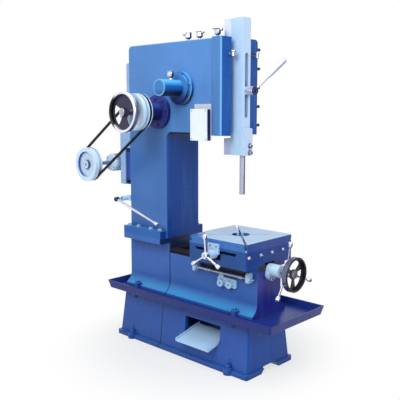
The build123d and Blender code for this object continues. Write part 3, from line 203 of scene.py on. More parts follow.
    def enamel(self, colour, rough=0.32, wear=0.4, grime=0.45, lumps=0.35, tones=None):
        """Brushed machine enamel: drifting tone, faint runs, edges rubbed pale as wear and painted highlight,
        corners darkened as grime and painted shade.
        """
        cloud = self.spread(self.noise(3.0, detail=3.0), 0.3, 0.7)
        base = self.mix(cloud, shade(colour, 0.9), shade(colour, 1.08, 0.003))
        if tones:
            base = self.shade_by_facing(base, *tones)
        runs = self.spread(self.noise(26.0, rough=0.6, stretch=(1.0, 1.0, 0.12)), 0.45, 0.75, 0.0, 0.22)
        base = self.mix(runs, base, shade(colour, 1.25, 0.01))
        # pale edges: wear, and a painted highlight where light catches them
        chips = self.spread(self.noise(48.0, detail=5.0), 0.4, 0.6, 0.25, 1.0)
        rubbed_and_lit_edges = self.both(self.both(self.edges(), chips), wear)
        base = self.mix(rubbed_and_lit_edges, base, shade(colour, 1.35, 0.10))
        corner_reach = 0.05
        # corners darkened patchily, as grime and painted shade
        base = self.mix(self.corners(corner_reach, grime), base, shade(colour, 0.3))
        specks = self.spread(self.noise(210.0, detail=2.0), 0.70, 0.74, 0.0, 0.35)
        base = self.mix(specks, base, shade(colour, 0.5))
        gloss = self.spread(self.noise(9.0, detail=5.0), 0.3, 0.7, rough - 0.07, rough + 0.1)
        peel = self.noise(150.0, detail=3.0)
        waves = self.spread(self.noise(17.0, detail=2.0), 0.0, 1.0, 0.0, 8.0 * lumps)
        return {"colour": base, "rough": gloss, "metal": 0.0, "height": self.sums("ADD", peel, waves)}

    def steel(self, colour, rough=0.26, stretch=(1.0, 1.0, 1.0), metal=0.85, stain=0.3, grime=0.5):
        """Machined metal: tool marks along one direction, faint stains, corners darkened as grime and painted
        shade, and edges lightened as wear and painted highlight.
        """
        marks = self.noise(90.0, rough=0.6, stretch=stretch)
        cloud = self.spread(self.noise(12.0, detail=5.0), 0.4, 0.75, 0.0, stain)
        base = self.mix(cloud, colour, shade(colour, 0.45))
        corner_reach = 0.02
        # corners darkened patchily, as grime and painted shade
        base = self.mix(self.corners(corner_reach, grime), base, shade(colour, 0.22))
        # edges lightened as wear and painted highlight
        base = self.mix(self.both(self.edges(), 0.5), base, shade(colour, 1.25, 0.02))
        gloss = self.spread(marks, 0.2, 0.8, rough - 0.08, rough + 0.14)
        return {"colour": base, "rough": gloss, "metal": metal, "height": self.both(marks, 0.5)}

    def plating(self, light, dark, rough=0.2, metal=0.75, reach=(0.12, 0.55)):
        """Plated or polished metal with a painted reflection: darker on one side, where it would mirror the
        machine.
        """
        painted_reflection_side = (0.55, 0.52, -0.65)
        lean = self.nodes.new("ShaderNodeVectorMath")
        lean.operation = "DOT_PRODUCT"
        self.feed(lean.inputs[0], self.facing)
        lean.inputs[1].default_value = painted_reflection_side
        drift = self.spread(self.noise(14.0, detail=2.0), 0.3, 0.7, -0.05, 0.05)
        turned = self.spread(self.sums("ADD", lean.outputs["Value"], drift), *reach)
        look = self.steel(light, rough=rough, metal=metal, stain=0.2, grime=0.6)
        # painted reflection: the dark colour on the faces that lean to that side
        look["colour"] = self.mix(turned, look["colour"], dark)
        return look

    def over(self, under, top, mask):
        """The top look where the mask is 1, on the look under it."""
        return {key: self.mix(mask, under[key], top[key]) for key in under}

    def finish(self, look, bump=0.22, specular=0.24, coat=0.03):
        """Puts a look and its relief on the shader."""
        self.feed(self.bsdf.inputs["Base Color"], look["colour"])
        self.feed(self.bsdf.inputs["Roughness"], look["rough"])
        self.feed(self.bsdf.inputs["Metallic"], look["metal"])
        self.bsdf.inputs["Specular IOR Level"].default_value = specular
        self.bsdf.inputs["Coat Weight"].default_value = coat
        self.bsdf.inputs["Coat Roughness"].default_value = 0.15
        relief = self.nodes.new("ShaderNodeBump")
        relief.inputs["Strength"].default_value = bump
        relief.inputs["Distance"].default_value = 0.0007
        self.feed(relief.inputs["Height"], look["height"])
        self.feed(relief.inputs["Normal"], self.rounded.outputs["Normal"])
        self.feed(self.bsdf.inputs["Normal"], relief.outputs["Normal"])
        return self.material


blue = srgb(84, 134, 196)
# These four are the head's blue darkened as painted shade, for parts lower down and under others.
shaded_bed_blue = srgb(56, 102, 178)
shaded_slide_blue = srgb(30, 74, 136)
shaded_stand_blue = srgb(44, 84, 160)
shaded_tray_blue = srgb(24, 50, 136)
navy = srgb(46, 54, 132)
pale_blue = srgb(176, 210, 242)
ram_blue = srgb(176, 206, 235)
off_white = srgb(232, 240, 244)
soot = srgb(20, 18, 28)
web_purple = srgb(56, 52, 78)
bare_steel = srgb(176, 180, 200)
bright_plate = srgb(226, 226, 238)
ground_iron = srgb(168, 198, 228)
oiled_iron = srgb(64, 52, 60)

# Colours for faces that look to the front, up and down, as (front, top, under): painted light and shade for
# each paint.
head_tones = (srgb(8, 80, 160), srgb(70, 146, 208), srgb(18, 24, 70))
bed_tones = (srgb(38, 34, 134), srgb(62, 150, 208), srgb(20, 28, 84))
slide_tones = (srgb(10, 56, 136), srgb(40, 112, 184), srgb(10, 12, 44))
stand_tones = (srgb(6, 68, 150), srgb(34, 108, 186), srgb(14, 22, 74))
tray_tones = (srgb(26, 42, 132), srgb(28, 48, 128), srgb(12, 18, 70))
navy_tones = (srgb(22, 30, 96), srgb(44, 80, 164), srgb(16, 16, 60))
ram_tones = (srgb(206, 224, 246), ram_blue, shade(ram_blue, 0.5))

small_edge = 0.0012
bare_metal = {"specular": 0.5, "coat": 0.0}


def plain_paint(name, colour, **looks):
    surface = Surface(name)
    return surface.finish(surface.enamel(colour, **looks))


def plain_steel(name, colour, **looks):
    surface = Surface(name, small_edge)
    return surface.finish(surface.steel(colour, **looks), bump=0.1, **bare_metal)


def plated(name, light, dark, **looks):
    surface = Surface(name, small_edge)
    return surface.finish(surface.plating(light, dark, **looks), bump=0.03, **bare_metal)


def seamed(name, colour, tones, seam_x, **looks):
    """Paint with the dark line of a joint between two castings."""
    surface = Surface(name)
    paint = surface.enamel(colour, tones=tones, **looks)
    line = dict(paint, colour=shade(colour, 0.22))
    offset = surface.absolute(surface.sums("SUBTRACT", surface.part(surface.place, "X"), seam_x))
    line_end, line_core = 0.0045, 0.0025
    return surface.finish(surface.over(paint, line, surface.spread(offset, line_end, line_core)))


def column_finish():
    """Head paint that darkens down the column and once more on the foot, as painted shade for light that
    falls off towards the floor.
    """
    surface = Surface("column_finish")
    underside = head_tones[2]
    head = surface.enamel(blue, tones=head_tones)
    post = surface.enamel(srgb(66, 112, 176), tones=(srgb(16, 64, 140), blue, underside))
    foot = surface.enamel(srgb(36, 96, 166), tones=(srgb(20, 60, 140), srgb(70, 140, 200), underside))
    head_start, head_fade, foot_top = 1.24, 0.10, 0.6985
    look = surface.over(post, head, surface.above("Z", head_start, head_fade))
    return surface.finish(surface.over(foot, look, surface.above("Z", foot_top)))


def crank_finish():
    """Bearing paint, lit above and darkened below as a painted shadow of the barrel, with painted highlights
    on the rims of cap and flange.
    """
    surface = Surface("crank_finish", 0.004)
    fresh_tones = (srgb(12, 92, 168), srgb(92, 178, 232), srgb(10, 12, 44))
    oily_tones = (srgb(8, 34, 100), srgb(30, 70, 140), srgb(8, 10, 36))
    paint = surface.enamel(srgb(58, 122, 188), tones=fresh_tones, wear=1.0)
    shadow_paint = surface.enamel(srgb(28, 54, 120), tones=oily_tones, wear=0.8)
    middle = crank_centre[2]
    # painted shadow on the lower part of the bearing
    look = surface.over(shadow_paint, paint, surface.ramp("Z", middle - 0.055, middle - 0.005))
    rim_highlight = dict(paint, colour=srgb(140, 204, 236))
    # painted highlights: a ring on the cap and a line along the flange's rim
    cap_y, cap_rim, flange_y, flange_rim = -0.3055, 0.0385, -0.1525, 0.0885
    cap = surface.both(surface.outside("Y", crank_centre, cap_rim, 0.002),
                       surface.ramp("Y", cap_y + 0.003, cap_y))
    flange = surface.both(
        surface.outside("Y", crank_centre, flange_rim, 0.001),
        surface.both(surface.ramp("Y", flange_y + 0.004, flange_y), surface.ramp("X", 0.02, 0.06)),
    )
    rims = surface.sums("MAXIMUM", cap, flange)
    return surface.finish(surface.over(look, rim_highlight, surface.both(rims, 0.55)))


def tyre_finish():
    """Chromed handwheel rim that is black on the back part of its inner side."""
    surface = Surface("tyre_finish", small_edge)
    inner_edge, start_x, end_x = 0.1085, -0.248, -0.272
    chrome = surface.plating(srgb(238, 238, 250), srgb(96, 98, 124))
    black = surface.steel(srgb(18, 16, 26), rough=0.3, metal=0.4)
    dark_part = surface.both(surface.inside("Y", drive_centre, inner_edge, 0.0015),
                             surface.ramp("X", start_x, end_x))
    return surface.finish(surface.over(chrome, black, dark_part), bump=0.03, **bare_metal)


def dished_pulley_finish():
    """Pale pulley with a shaded dish, an outlined hub and the shaft's bright end."""
    surface = Surface("dished_pulley_finish")
    dish_radius, hub_radius, bore, margin = 0.0775, 0.026, 0.012, 0.002
    paint = surface.enamel(srgb(206, 228, 246), rough=0.3, wear=0.3, grime=0.5, lumps=0.15)
    shaded = dict(paint, colour=srgb(58, 92, 170))
    outline = dict(paint, colour=srgb(84, 96, 140))
    end = surface.steel(srgb(150, 158, 190), rough=0.3, metal=0.5)
    dish = surface.inside("Y", motor_centre, dish_radius + margin)
    look = surface.over(paint, shaded, surface.both(dish, surface.towards("X", 0.05, 0.5)))
    line = surface.both(surface.outside("Y", motor_centre, hub_radius - 0.0025),
                        surface.inside("Y", motor_centre, hub_radius + margin))
    look = surface.over(look, outline, surface.both(line, 0.8))
    return surface.finish(surface.over(end, look, surface.outside("Y", motor_centre, bore)))


def guide_finish():
    """Head paint with a broad painted highlight along the near front corner."""
    surface = Surface("guide_finish", 0.006)
    paint = surface.enamel(srgb(76, 124, 184), tones=head_tones, wear=0.3)
    near_y, band = -0.140, 0.009
    highlight_strip = surface.both(surface.above("X", guide_front_x - band, 0.002),
                         surface.ramp("Y", near_y + band * 0.6, near_y + band * 0.4))
    # painted highlight along the rounded near front corner
    corner_highlight = dict(paint, colour=srgb(112, 182, 228))
    return surface.finish(surface.over(paint, corner_highlight, surface.both(highlight_strip, 0.85)))


def bed_finish():
    """Blue bed with bare, oil-darkened ways and a painted shadow of the saddle in a band along its near side.
    """
    surface = Surface("bed_front_finish")
    way_bottom = 0.562
    paint = surface.enamel(shaded_bed_blue, tones=bed_tones)
    ways = surface.steel(oiled_iron, rough=0.34, stretch=(1.0, 12.0, 12.0), metal=0.5, stain=0.5)
    shadow_paint = dict(paint, colour=srgb(14, 14, 30))
    # painted shadow that the saddle casts on the bed's near face
    near_face_y, band_low, band_start, band_end = -0.095, 0.516, 0.105, 0.452
    along = surface.both(surface.above("X", band_start, 0.006), surface.ramp("X", band_end + 0.012, band_end))
    near_side = surface.ramp("Y", near_face_y, near_face_y - 0.002)
    band = surface.both(surface.above("Z", band_low, 0.008), surface.both(near_side, along))
    look = surface.over(paint, shadow_paint, surface.both(band, 0.92))
    return surface.finish(surface.over(look, ways, surface.above("Z", way_bottom)))


def table_finish():
    """Ground top and slots, painted sides, and a painted land at the near back corner."""
    surface = Surface("table_finish")
    land_level = 0.7205
    side = surface.enamel(srgb(50, 104, 178), grime=0.3, tones=slide_tones)
    top = surface.steel(ground_iron, rough=0.34, stretch=(16.0, 1.0, 1.0), metal=0.3, stain=0.22, grime=0.12)
    flat = surface.towards("Z", 0.8, 0.9)
    level = surface.above("Z", land_level, 0.0002)
    facing_x, facing_y = surface.part(surface.facing, "X"), surface.part(surface.facing, "Y")
    slot_wall = surface.absolute(surface.both(facing_x, facing_y))
    slanted = surface.spread(slot_wall, 0.3, 0.4)
    machined = surface.sums("MAXIMUM", surface.both(flat, level), slanted)
    corner_x, corner_y, reach_x, reach_y = 0.104, -0.198, 0.116, 0.088
    along = surface.ramp("X", corner_x, corner_x + reach_x)
    aside = surface.ramp("Y", corner_y, corner_y + reach_y)
    land = surface.spread(surface.sums("ADD", along, aside), 0.97, 1.03)
    machined = surface.both(machined, land)
    return surface.finish(surface.over(side, top, machined), specular=0.4)


def wheel_finish():
    """Front wheel: polished tyre, dark burnished face, black web, bright hub."""
    surface = Surface("front_wheel_finish", 0.002)
    wheel_low, wheel_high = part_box("front_wheel")
    centre = (0.0, 0.0, (wheel_low[2] + wheel_high[2]) / 2)
    tyre = surface.plating(srgb(104, 106, 134), srgb(22, 20, 36), rough=0.25)
    face = surface.steel(srgb(34, 30, 46), rough=0.34, metal=0.6)
    web = surface.enamel(soot, rough=0.34, wear=0.5)
    hub = surface.plating(srgb(206, 210, 226), srgb(90, 92, 120), rough=0.25)
    rim_inner, rim_face, hub_edge = 0.0805, 0.0885, 0.0203
    look = surface.over(web, face, surface.outside("X", centre, rim_inner))
    outer_side = surface.spread(surface.part(surface.facing, "X"), 0.5, 0.3)
    look = surface.over(look, tyre, surface.both(surface.outside("X", centre, rim_face), outer_side))
    look = surface.over(hub, look, surface.outside("X", centre, hub_edge))
    return surface.finish(look, bump=0.12, specular=0.45)


def switch_finish():
    """White back plate behind a dark body."""
    surface = Surface("switch_body_finish", 0.0015)
    plate_face_y = -0.1403
    plate = surface.enamel(off_white, rough=0.4, wear=0.1, grime=0.15, lumps=0.05)
    body = surface.enamel(srgb(30, 34, 92), rough=0.35, wear=0.2, lumps=0.1)
    return surface.finish(surface.over(body, plate, surface.above("Y", plate_face_y)))


def hinge_finish():
    """Dark block with a blackened pin through it."""
    surface = Surface("hinge_finish")
    block_side = 0.0863
    block = surface.enamel(srgb(48, 80, 160), tones=stand_tones)
    pin = surface.steel(soot, rough=0.3, metal=0.4)
    across = surface.absolute(surface.part(surface.place, "Y"))
    return surface.finish(surface.over(block, pin, surface.spread(across, block_side, block_side + 0.001)))


def head_block_finish():
    """Pale tool head whose dovetail foot is bare and greyer."""
    surface = Surface("tool_head_finish")
    nose_back_x = 0.256
    foot = surface.steel(srgb(168, 174, 204), rough=0.36, stretch=(8.0, 8.0, 1.0), metal=0.3)
    body = surface.enamel(ram_blue, wear=0.3, grime=0.2, lumps=0.1, tones=ram_tones)
    return surface.finish(surface.over(foot, body, surface.above("X", nose_back_x)))


def ram_finish():
    """Pale nose, with the bare dovetail behind it and a shaded clamp slot."""
    surface = Surface("ram_finish")
    nose_back_x, slot_floor_x, slot_half = 0.2562, 0.330, 0.0137
    flank = surface.steel(srgb(186, 196, 220), rough=0.36, stretch=(8.0, 8.0, 1.0), metal=0.3, grime=0.3)
    body = surface.enamel(ram_blue, wear=0.3, grime=0.12, lumps=0.1, tones=ram_tones)
    slot = surface.steel(srgb(178, 204, 236), rough=0.4, stretch=(6.0, 6.0, 1.0), metal=0.2, grime=0.3)
    look = surface.over(flank, body, surface.above("X", nose_back_x))
    across = surface.absolute(surface.part(surface.place, "Y"))
    in_slot = surface.both(surface.spread(across, slot_half + 0.0005, slot_half),
                           surface.ramp("X", slot_floor_x + 0.0075, slot_floor_x + 0.0065))
    return surface.finish(surface.over(look, slot, in_slot))


def clamp_finish():
    """Bright clamp barrel with a dark end."""
    surface = Surface("clamp_finish", small_edge)
    end_x = 0.393
    barrel = surface.plating(srgb(236, 238, 248), srgb(120, 130, 168), rough=0.22)
    end = surface.steel(srgb(44, 50, 88), rough=0.3, metal=0.5)
    return surface.finish(surface.over(barrel, end, surface.above("X", end_x)), bump=0.02, **bare_metal)


stand_joint_x, bed_joint_x = -0.1475, -0.15
materials = {
    "blue": plain_paint("blue_paint", blue, tones=head_tones),
    "column": column_finish(),
    "crank": crank_finish(),
    "dished_pulley": dished_pulley_finish(),
    "guide": guide_finish(),
    "bed": seamed("bed_paint", shaded_bed_blue, bed_tones, bed_joint_x),
    "slide": plain_paint("slide_paint", shaded_slide_blue, tones=slide_tones, grime=0.8),
    "stand": seamed("stand_paint", shaded_stand_blue, stand_tones, stand_joint_x, grime=0.55),
    "tray": plain_paint("tray_paint", shaded_tray_blue, grime=0.6, tones=tray_tones),
    "navy": plain_paint("dark_blue_paint", navy, wear=0.35, tones=navy_tones),
    "pale": plain_paint("pale_paint", pale_blue, rough=0.34, wear=0.25, grime=0.3, lumps=0.15),
    "bearing_pale": plain_paint("bearing_paint", srgb(196, 226, 250), grime=0.3, lumps=0.15),
    "grey_blue": plain_paint("cover_paint", srgb(152, 184, 222), rough=0.34, wear=0.3, grime=0.3, lumps=0.15),
    "motor_pale": plain_paint("motor_paint", srgb(202, 224, 244), rough=0.3, wear=0.3, grime=0.5, lumps=0.15),
    "white": plain_paint("white_paint", off_white, rough=0.4, wear=0.1, grime=0.15, lumps=0.05),
    "black": plain_paint("black_paint", web_purple, rough=0.3, wear=0.3, grime=0.5, lumps=0.1),
    "rubber": plain_paint("belt_rubber", srgb(16, 16, 30), rough=0.7, wear=0.02, grime=0.3, lumps=0.05),
    "chrome": plated("chrome_plate", bright_plate, srgb(58, 60, 88)),
    "tyre": tyre_finish(),
    "grip": plated("grip_chrome", srgb(222, 226, 242), srgb(104, 112, 150), reach=(0.30, 0.70)),
    "steel": plated("turned_steel", bare_steel, srgb(66, 66, 92), rough=0.27, metal=0.6),
    "dark_steel": plain_steel("black_steel", srgb(44, 50, 88), rough=0.32, metal=0.6),
    "bed_front": bed_finish(),
    "table": table_finish(),
    "wheel": wheel_finish(),
    "switch": switch_finish(),
    "hinge": hinge_finish(),
    "tool_head": head_block_finish(),
    "ram": ram_finish(),
    "clamp": clamp_finish(),
}
finish = {
    "column": "column",
    "crank": "crank_bearing",
    "guide": "ram_guide gib_strip",
    "bed": "bed_rear",
    "slide": "saddle cross_slide",
    "stand": "stand_rear stand_front",
    "tray": "chip_tray",
    "navy": "shaft_bearing cross_gib",
    "pale": "chip_chute cross_bracket feed_brackets trip_casting lever_bracket",
    "bearing_pale": "screw_bearing",
    "grey_blue": "motor_bracket rear_cover",
    "motor_pale": "main_pulley motor",
    "dished_pulley": "motor_pulley",
    "white": "switch_cover",
    "black": "handwheel_centre",
    "steel": "tool_bar drive_shaft cross_screw long_screw feed_shaft",
    "rubber": "drive_belt",
    "bed_front": "bed_front",
    "table": "table",
    "wheel": "front_wheel",
    "switch": "switch_base",
    "hinge": "hinge_block",
    "tool_head": "tool_head",
    "ram": "ram",
    "clamp": "stroke_clamp",
}
for key, names in finish.items():
    for name in names.split():
        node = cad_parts[name]
        node.data.materials.clear()
        node.data.materials.append(materials[key])


def axis_frame(origin, axis, start=(0.0, 0.0, 1.0)):
    """A matrix at origin whose z runs along the axis and whose x lies near start."""
    along = Vector(axis).normalized()
    aside = Vector(start) - along * Vector(start).dot(along)
    if aside.length < 0.01:
        aside = Vector((1.0, 0.0, 0.0)) - along * along.x
    aside.normalize()
    turned = Matrix((aside, along.cross(aside), along)).transposed().to_4x4()
    return Matrix.Translation(Vector(origin)) @ turned


def lathe(mesh, place, profile, steps=32, closed=False):
    """Turns a profile of (along, radius) points about the z axis of the place."""
    rings = []
    for along, radius in profile:
        if radius == 0.0:
            rings.append([mesh.verts.new(place @ Vector((0.0, 0.0, along)))])
            continue
        turns = [2 * math.pi * step / steps for step in range(steps)]
        rings.append([
            mesh.verts.new(place @ Vector((radius * math.cos(turn), radius * math.sin(turn), along)))
            for turn in turns
        ])
    pairs = list(zip(rings, rings[1:]))
    if closed:
        pairs.append((rings[-1], rings[0]))
    for first, second in pairs:
        for step in range(steps):
            after = (step + 1) % steps
            corners = [first[step % len(first)], first[after % len(first)],
                       second[after % len(second)], second[step % len(second)]]
            unique = list(dict.fromkeys(corners))
            if len(unique) > 2:
                mesh.faces.new(unique)


def ring(mesh, place, inner, outer, height, steps):
    """A flat ring that stands on the place."""
    lathe(mesh, place, [(0.0, inner), (0.0, outer), (height, outer), (height, inner)], steps, closed=True)


def piece(name, mesh, material, body, replaces=(), bevel=0.0006, smooth_angle=35.0):
    """Turns the mesh into an object with softened edges that rides on a body."""
    bmesh.ops.recalc_face_normals(mesh, faces=mesh.faces)
    data = bpy.data.meshes.new(name)
    mesh.to_mesh(data)
    mesh.free()
    data.materials.append(materials[material])
    data.polygons.foreach_set("use_smooth", [True] * len(data.polygons))
    data.set_sharp_from_angle(angle=math.radians(smooth_angle))
    made = bpy.data.objects.new(name, data)
    bpy.context.scene.collection.objects.link(made)
    if bevel:
        soften = made.modifiers.new("soft_edges", "BEVEL")
        soften.width = bevel
        soften.segments = 2
        soften.limit_method = "ANGLE"
        soften.angle_limit = math.radians(smooth_angle)
        soften.harden_normals = False
    if replaces:
        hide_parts(*replaces)
    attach(made, body)


def bolt(mesh, origin, axis, radius, height, turn=0.0, sides=6):
    """A washer and a bevelled head that stand on origin."""
    place = axis_frame(origin, axis) @ Matrix.Rotation(turn, 4, "Z")
    washer, washer_radius = height * 0.22, radius * 1.25
    lathe(mesh, place, [(0.0, 0.0), (0.0, washer_radius), (washer, washer_radius), (washer, 0.0)], 24)
    lathe(mesh, place, [
        (washer, 0.0), (washer, radius), (height * 0.86, radius), (height, radius * 0.84),
        (height, radius * 0.4), (height * 0.93, 0.0),
    ], sides)


def bolt_set(name, places, axis, radius, height,
             material="steel", body="frame", sides=6):
    """One mesh of like bolts; each is turned a little differently, as a spanner leaves them."""
    mesh = bmesh.new()
    golden_turn = 2.4
    for index, origin in enumerate(places):
        bolt(mesh, origin, axis, radius, height, index * golden_turn, sides)
    piece(name, mesh, material, body, bevel=radius * 0.04)


def around(centre, axis_letter, radius, count, first=0.0):
    """Places on a circle about a line along one axis."""
    places = []
    for index in range(count):
        turn = math.radians(first) + 2 * math.pi * index / count
        one, two = radius * math.cos(turn), radius * math.sin(turn)
        offset = {"X": (0.0, one, two), "Y": (one, 0.0, two), "Z": (one, two, 0.0)}[axis_letter]
        places.append(tuple(c + o for c, o in zip(centre, offset)))
    return places


def four_corners(half_x, half_y, height):
    """Places at the corners of a rectangle round the origin."""
    return [(side_x * half_x, side_y * half_y, height) for side_x in (-1, 1) for side_y in (-1, 1)]


def at_y(centre, y):
    return centre[0], y, centre[2]


def stand_bolts():
    """Fasteners of the stand, the tray, the bed and the foot of the column."""
    foot_top, foot_y = 0.697, 0.157
    foot_xs = (-0.445, -0.365, -0.255, -0.178)
    places = [(x, side * foot_y, foot_top) for side in (-1, 1) for x in foot_xs]
    bolt_set("column_foot_bolts", places, up, 0.0125, 0.013, "grey_blue")
    lug_x, foot_lug_y, foot_lug_top = 0.392, 0.196, 0.034
    places = four_corners(lug_x, foot_lug_y, foot_lug_top)
    bolt_set("foot_bolts", places, up, 0.015, 0.016, "stand")
    bed_lug_y, bed_lug_top = 0.146, 0.342
    places = four_corners(lug_x, bed_lug_y, bed_lug_top)
    bolt_set("bed_bolts", places, up, 0.012, 0.013, "bed")
    tray_lug_y, tray_lug_under = 0.166, 0.264
    places = four_corners(lug_x, tray_lug_y, tray_lug_under)
    bolt_set("tray_nuts", places, down, 0.010, 0.012, "stand")


def machine_bolts():
    """Fasteners of the flanges, covers, brackets and the tool head."""
    flange_face_y = -0.154
    places = around(at_y(crank_centre, flange_face_y), "Y", 0.083, 6, 15.0)
    bolt_set("crank_flange_bolts", places, near, 0.0065, 0.007, "crank")
    places = around(at_y(drive_centre, flange_face_y), "Y", 0.076, 8, 8.0)
    bolt_set("shaft_flange_bolts", places, near, 0.0075, 0.009, "navy")
    cover_x, cover_y, cover_low, cover_high = -0.491, 0.112, 1.296, 1.657
    rows = (cover_low, (cover_low + cover_high) / 2, cover_high)
    places = [(cover_x, side * cover_y, height) for side in (-1, 1) for height in rows]
    bolt_set("rear_cover_screws", places, behind, 0.007, 0.007)
    bearing_x, middle_z, side_z, side_y = 0.531, 0.5105, 0.5195, 0.025
    places = [(bearing_x, 0.0, middle_z), (bearing_x, -side_y, side_z), (bearing_x, side_y, side_z)]
    bolt_set("screw_bearing_bolts", places, ahead, 0.0055, 0.006)
    cross_bracket_y, cross_bracket_z = -0.210, 0.688
    places = [(x, cross_bracket_y, cross_bracket_z) for x in (0.268, 0.314)]
    bolt_set("cross_bracket_bolts", places, near, 0.006, 0.007, body="cross_slide_body")
    motor_bracket_x, motor_bracket_y = -0.598, 0.06
    places = [(motor_bracket_x, side * motor_bracket_y, height) for side in (-1, 1) for height in (1.2, 0.98)]
    bolt_set("bracket_bolts", places, behind, 0.011, 0.011)
    motor_end_y = -0.130
    places = around(at_y(motor_centre, motor_end_y), "Y", 0.042, 4, 45.0)
    bolt_set("motor_end_bolts", places, near, 0.004, 0.005)
    switch_face_y = -0.173
    places = [(x, switch_face_y, z) for x in (0.1, 0.201) for z in (1.245, 1.394)]
    bolt_set("switch_cover_screws", places, near, 0.003, 0.002, sides=20)
    tool_head_x, tool_head_y = 0.353, 0.012
    places = [(tool_head_x, tool_head_y, height) for height in (1.208, 1.171)]
    bolt_set("tool_head_bolts", places, ahead, 0.012, 0.017, body="ram_body", sides=4)


def gib_nuts():
    """Lock nuts and screw ends down the far side of the guide."""
    screw_x, back_y, middle_z, pitch, turn_between = 0.2745, 0.160, 1.52, 0.1028, 0.7
    mesh = bmesh.new()
    for index in range(5):
        place = axis_frame((screw_x, back_y, middle_z + (index - 2) * pitch), far)
        ring(mesh, place @ Matrix.Rotation(index * turn_between, 4, "Z"), 0.0062, 0.0098, 0.009, 6)
        lathe(mesh, place, [
            (0.0185, 0.0), (0.0185, 0.0085), (0.026, 0.0085), (0.0275, 0.007), (0.0275, 0.0),
        ], 20)
    piece("gib_screw_nuts", mesh, "dark_steel", "frame", bevel=0.0005)


def gib_caps():
    """Bright screw heads along the front of the cross slide."""
    face_x, height, first_y, pitch = 0.510, 0.651, -0.1797, 0.096
    mesh = bmesh.new()
    for step in range(4):
        place = axis_frame((face_x, first_y + step * pitch, height), ahead)
        lathe(mesh, place, [
            (0.0, 0.0), (0.0, 0.0098), (0.0105, 0.0098), (0.0125, 0.0082), (0.0125, 0.004),
            (0.0105, 0.0036), (0.0105, 0.0),
        ], 24)
    piece("gib_screw_heads", mesh, "chrome", "cross_slide_body")


def handwheel():
    """Rim with a softly squared section, and the ring round the shaft's end."""
    low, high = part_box("handwheel_rim")
    centre = [(a + b) / 2 for a, b in zip(low, high)]
    outer, half_width = (high[0] - low[0]) / 2, (high[1] - low[1]) / 2
    thickness, squareness, section = 0.017, 0.55, 24
    middle, half_thickness = outer - thickness / 2, thickness / 2
    profile = []
    for step in range(section):
        turn = 2 * math.pi * step / section
        across = math.copysign(abs(math.sin(turn)) ** squareness, math.sin(turn))
        out = math.copysign(abs(math.cos(turn)) ** squareness, math.cos(turn))
        profile.append((half_width * across, middle + half_thickness * out))
    mesh = bmesh.new()
    lathe(mesh, axis_frame(centre, near), profile, 96, closed=True)
    piece("handwheel_tyre", mesh, "tyre", "drive_body", ("handwheel_rim",),
          bevel=0.0, smooth_angle=60.0)
    washer = bmesh.new()
    end_y = -0.4072
    ring(washer, axis_frame(at_y(centre, end_y), near), 0.0162, 0.021, 0.0035, 32)
    piece("handwheel_washer", washer, "chrome", "drive_body", bevel=0.0005)


def star(name, node, body, centre, hub_axis, first_direction, hub, bore, length, tilt):
    """Three-armed handle: turned arms with a flared, rounded knob each."""
    hub_radius, hub_half = hub
    mesh = bmesh.new()
    lathe(mesh, axis_frame(centre, hub_axis), [
        (-hub_half, bore), (-hub_half, hub_radius * 0.86), (-hub_half * 0.75, hub_radius),
        (hub_half * 0.75, hub_radius), (hub_half, hub_radius * 0.86), (hub_half, bore),
    ], 40, closed=True)
    knob_length, knob_radius = 0.028, 0.0119
    start, knob = hub_radius * 0.82, length - knob_length
    arm = [
        (start, 0.0), (start, 0.0058), (start + (knob - start) * 0.5, 0.0052), (knob - 0.004, 0.0062),
        (knob, 0.0078), (knob + 0.004, 0.0106), (knob + 0.009, knob_radius), (length - 0.004, knob_radius),
        (length - 0.001, 0.0105), (length, 0.0080), (length, 0.0),
    ]
    for turn in (0.0, 120.0, 240.0):
        around_hub = Matrix.Rotation(math.radians(turn), 3, Vector(hub_axis)) @ Vector(first_direction)
        outward = around_hub * math.cos(math.radians(tilt)) + Vector(hub_axis) * math.sin(math.radians(tilt))
        lathe(mesh, axis_frame(centre, outward, hub_axis), arm, 28)
    piece(name, mesh, "chrome", body, (node,), bevel=0.0)


def stars():
    """The star handles of the cross feed and the long feed."""
    angle = math.radians(93.0)
    first = (math.cos(angle), 0.0, math.sin(angle))
    star("cross_handle", "cross_star", "cross_handle_body", (0.291, -0.266, 0.644), near, first,
         hub=(0.019, 0.013), bore=0.009, length=0.113, tilt=0.0)
    angle = math.radians(99.0)
    first = (0.0, math.cos(angle), math.sin(angle))
    star("front_handle", "front_star", "front_wheel_body", (0.621, 0.0, 0.559), ahead, first,
         hub=(0.020, 0.015), bore=0.010, length=0.180, tilt=13.0)


def clamp_lever():
    """Lever with a swelling grip, in a dark hub."""
    hub_start, hub_length, hub_height, lean = 0.3823, 0.020, 1.4994, math.radians(33.0)
    arm_centre = (hub_start + hub_length / 2, 0.0, hub_height)
    outward = (0.0, math.cos(lean), math.sin(lean))
    mesh = bmesh.new()
    lathe(mesh, axis_frame(arm_centre, outward), [
        (0.019, 0.0), (0.019, 0.0062), (0.12, 0.0070), (0.145, 0.0090), (0.17, 0.0118), (0.24, 0.0128),
        (0.295, 0.0134), (0.308, 0.0130), (0.3135, 0.0105), (0.315, 0.0070), (0.315, 0.0),
    ], 32)
    piece("clamp_grip", mesh, "grip", "clamp_lever_body", bevel=0.0)
    hub = bmesh.new()
    lathe(hub, axis_frame((hub_start, 0.0, hub_height), ahead), [
        (0.0, 0.0101), (0.0, 0.0215), (0.002, 0.023), (hub_length - 0.003, 0.023), (hub_length, 0.020),
        (hub_length, 0.0101),
    ], 40, closed=True)
    piece("clamp_hub", hub, "clamp", "clamp_lever_body", ("clamp_lever",), bevel=0.0003)


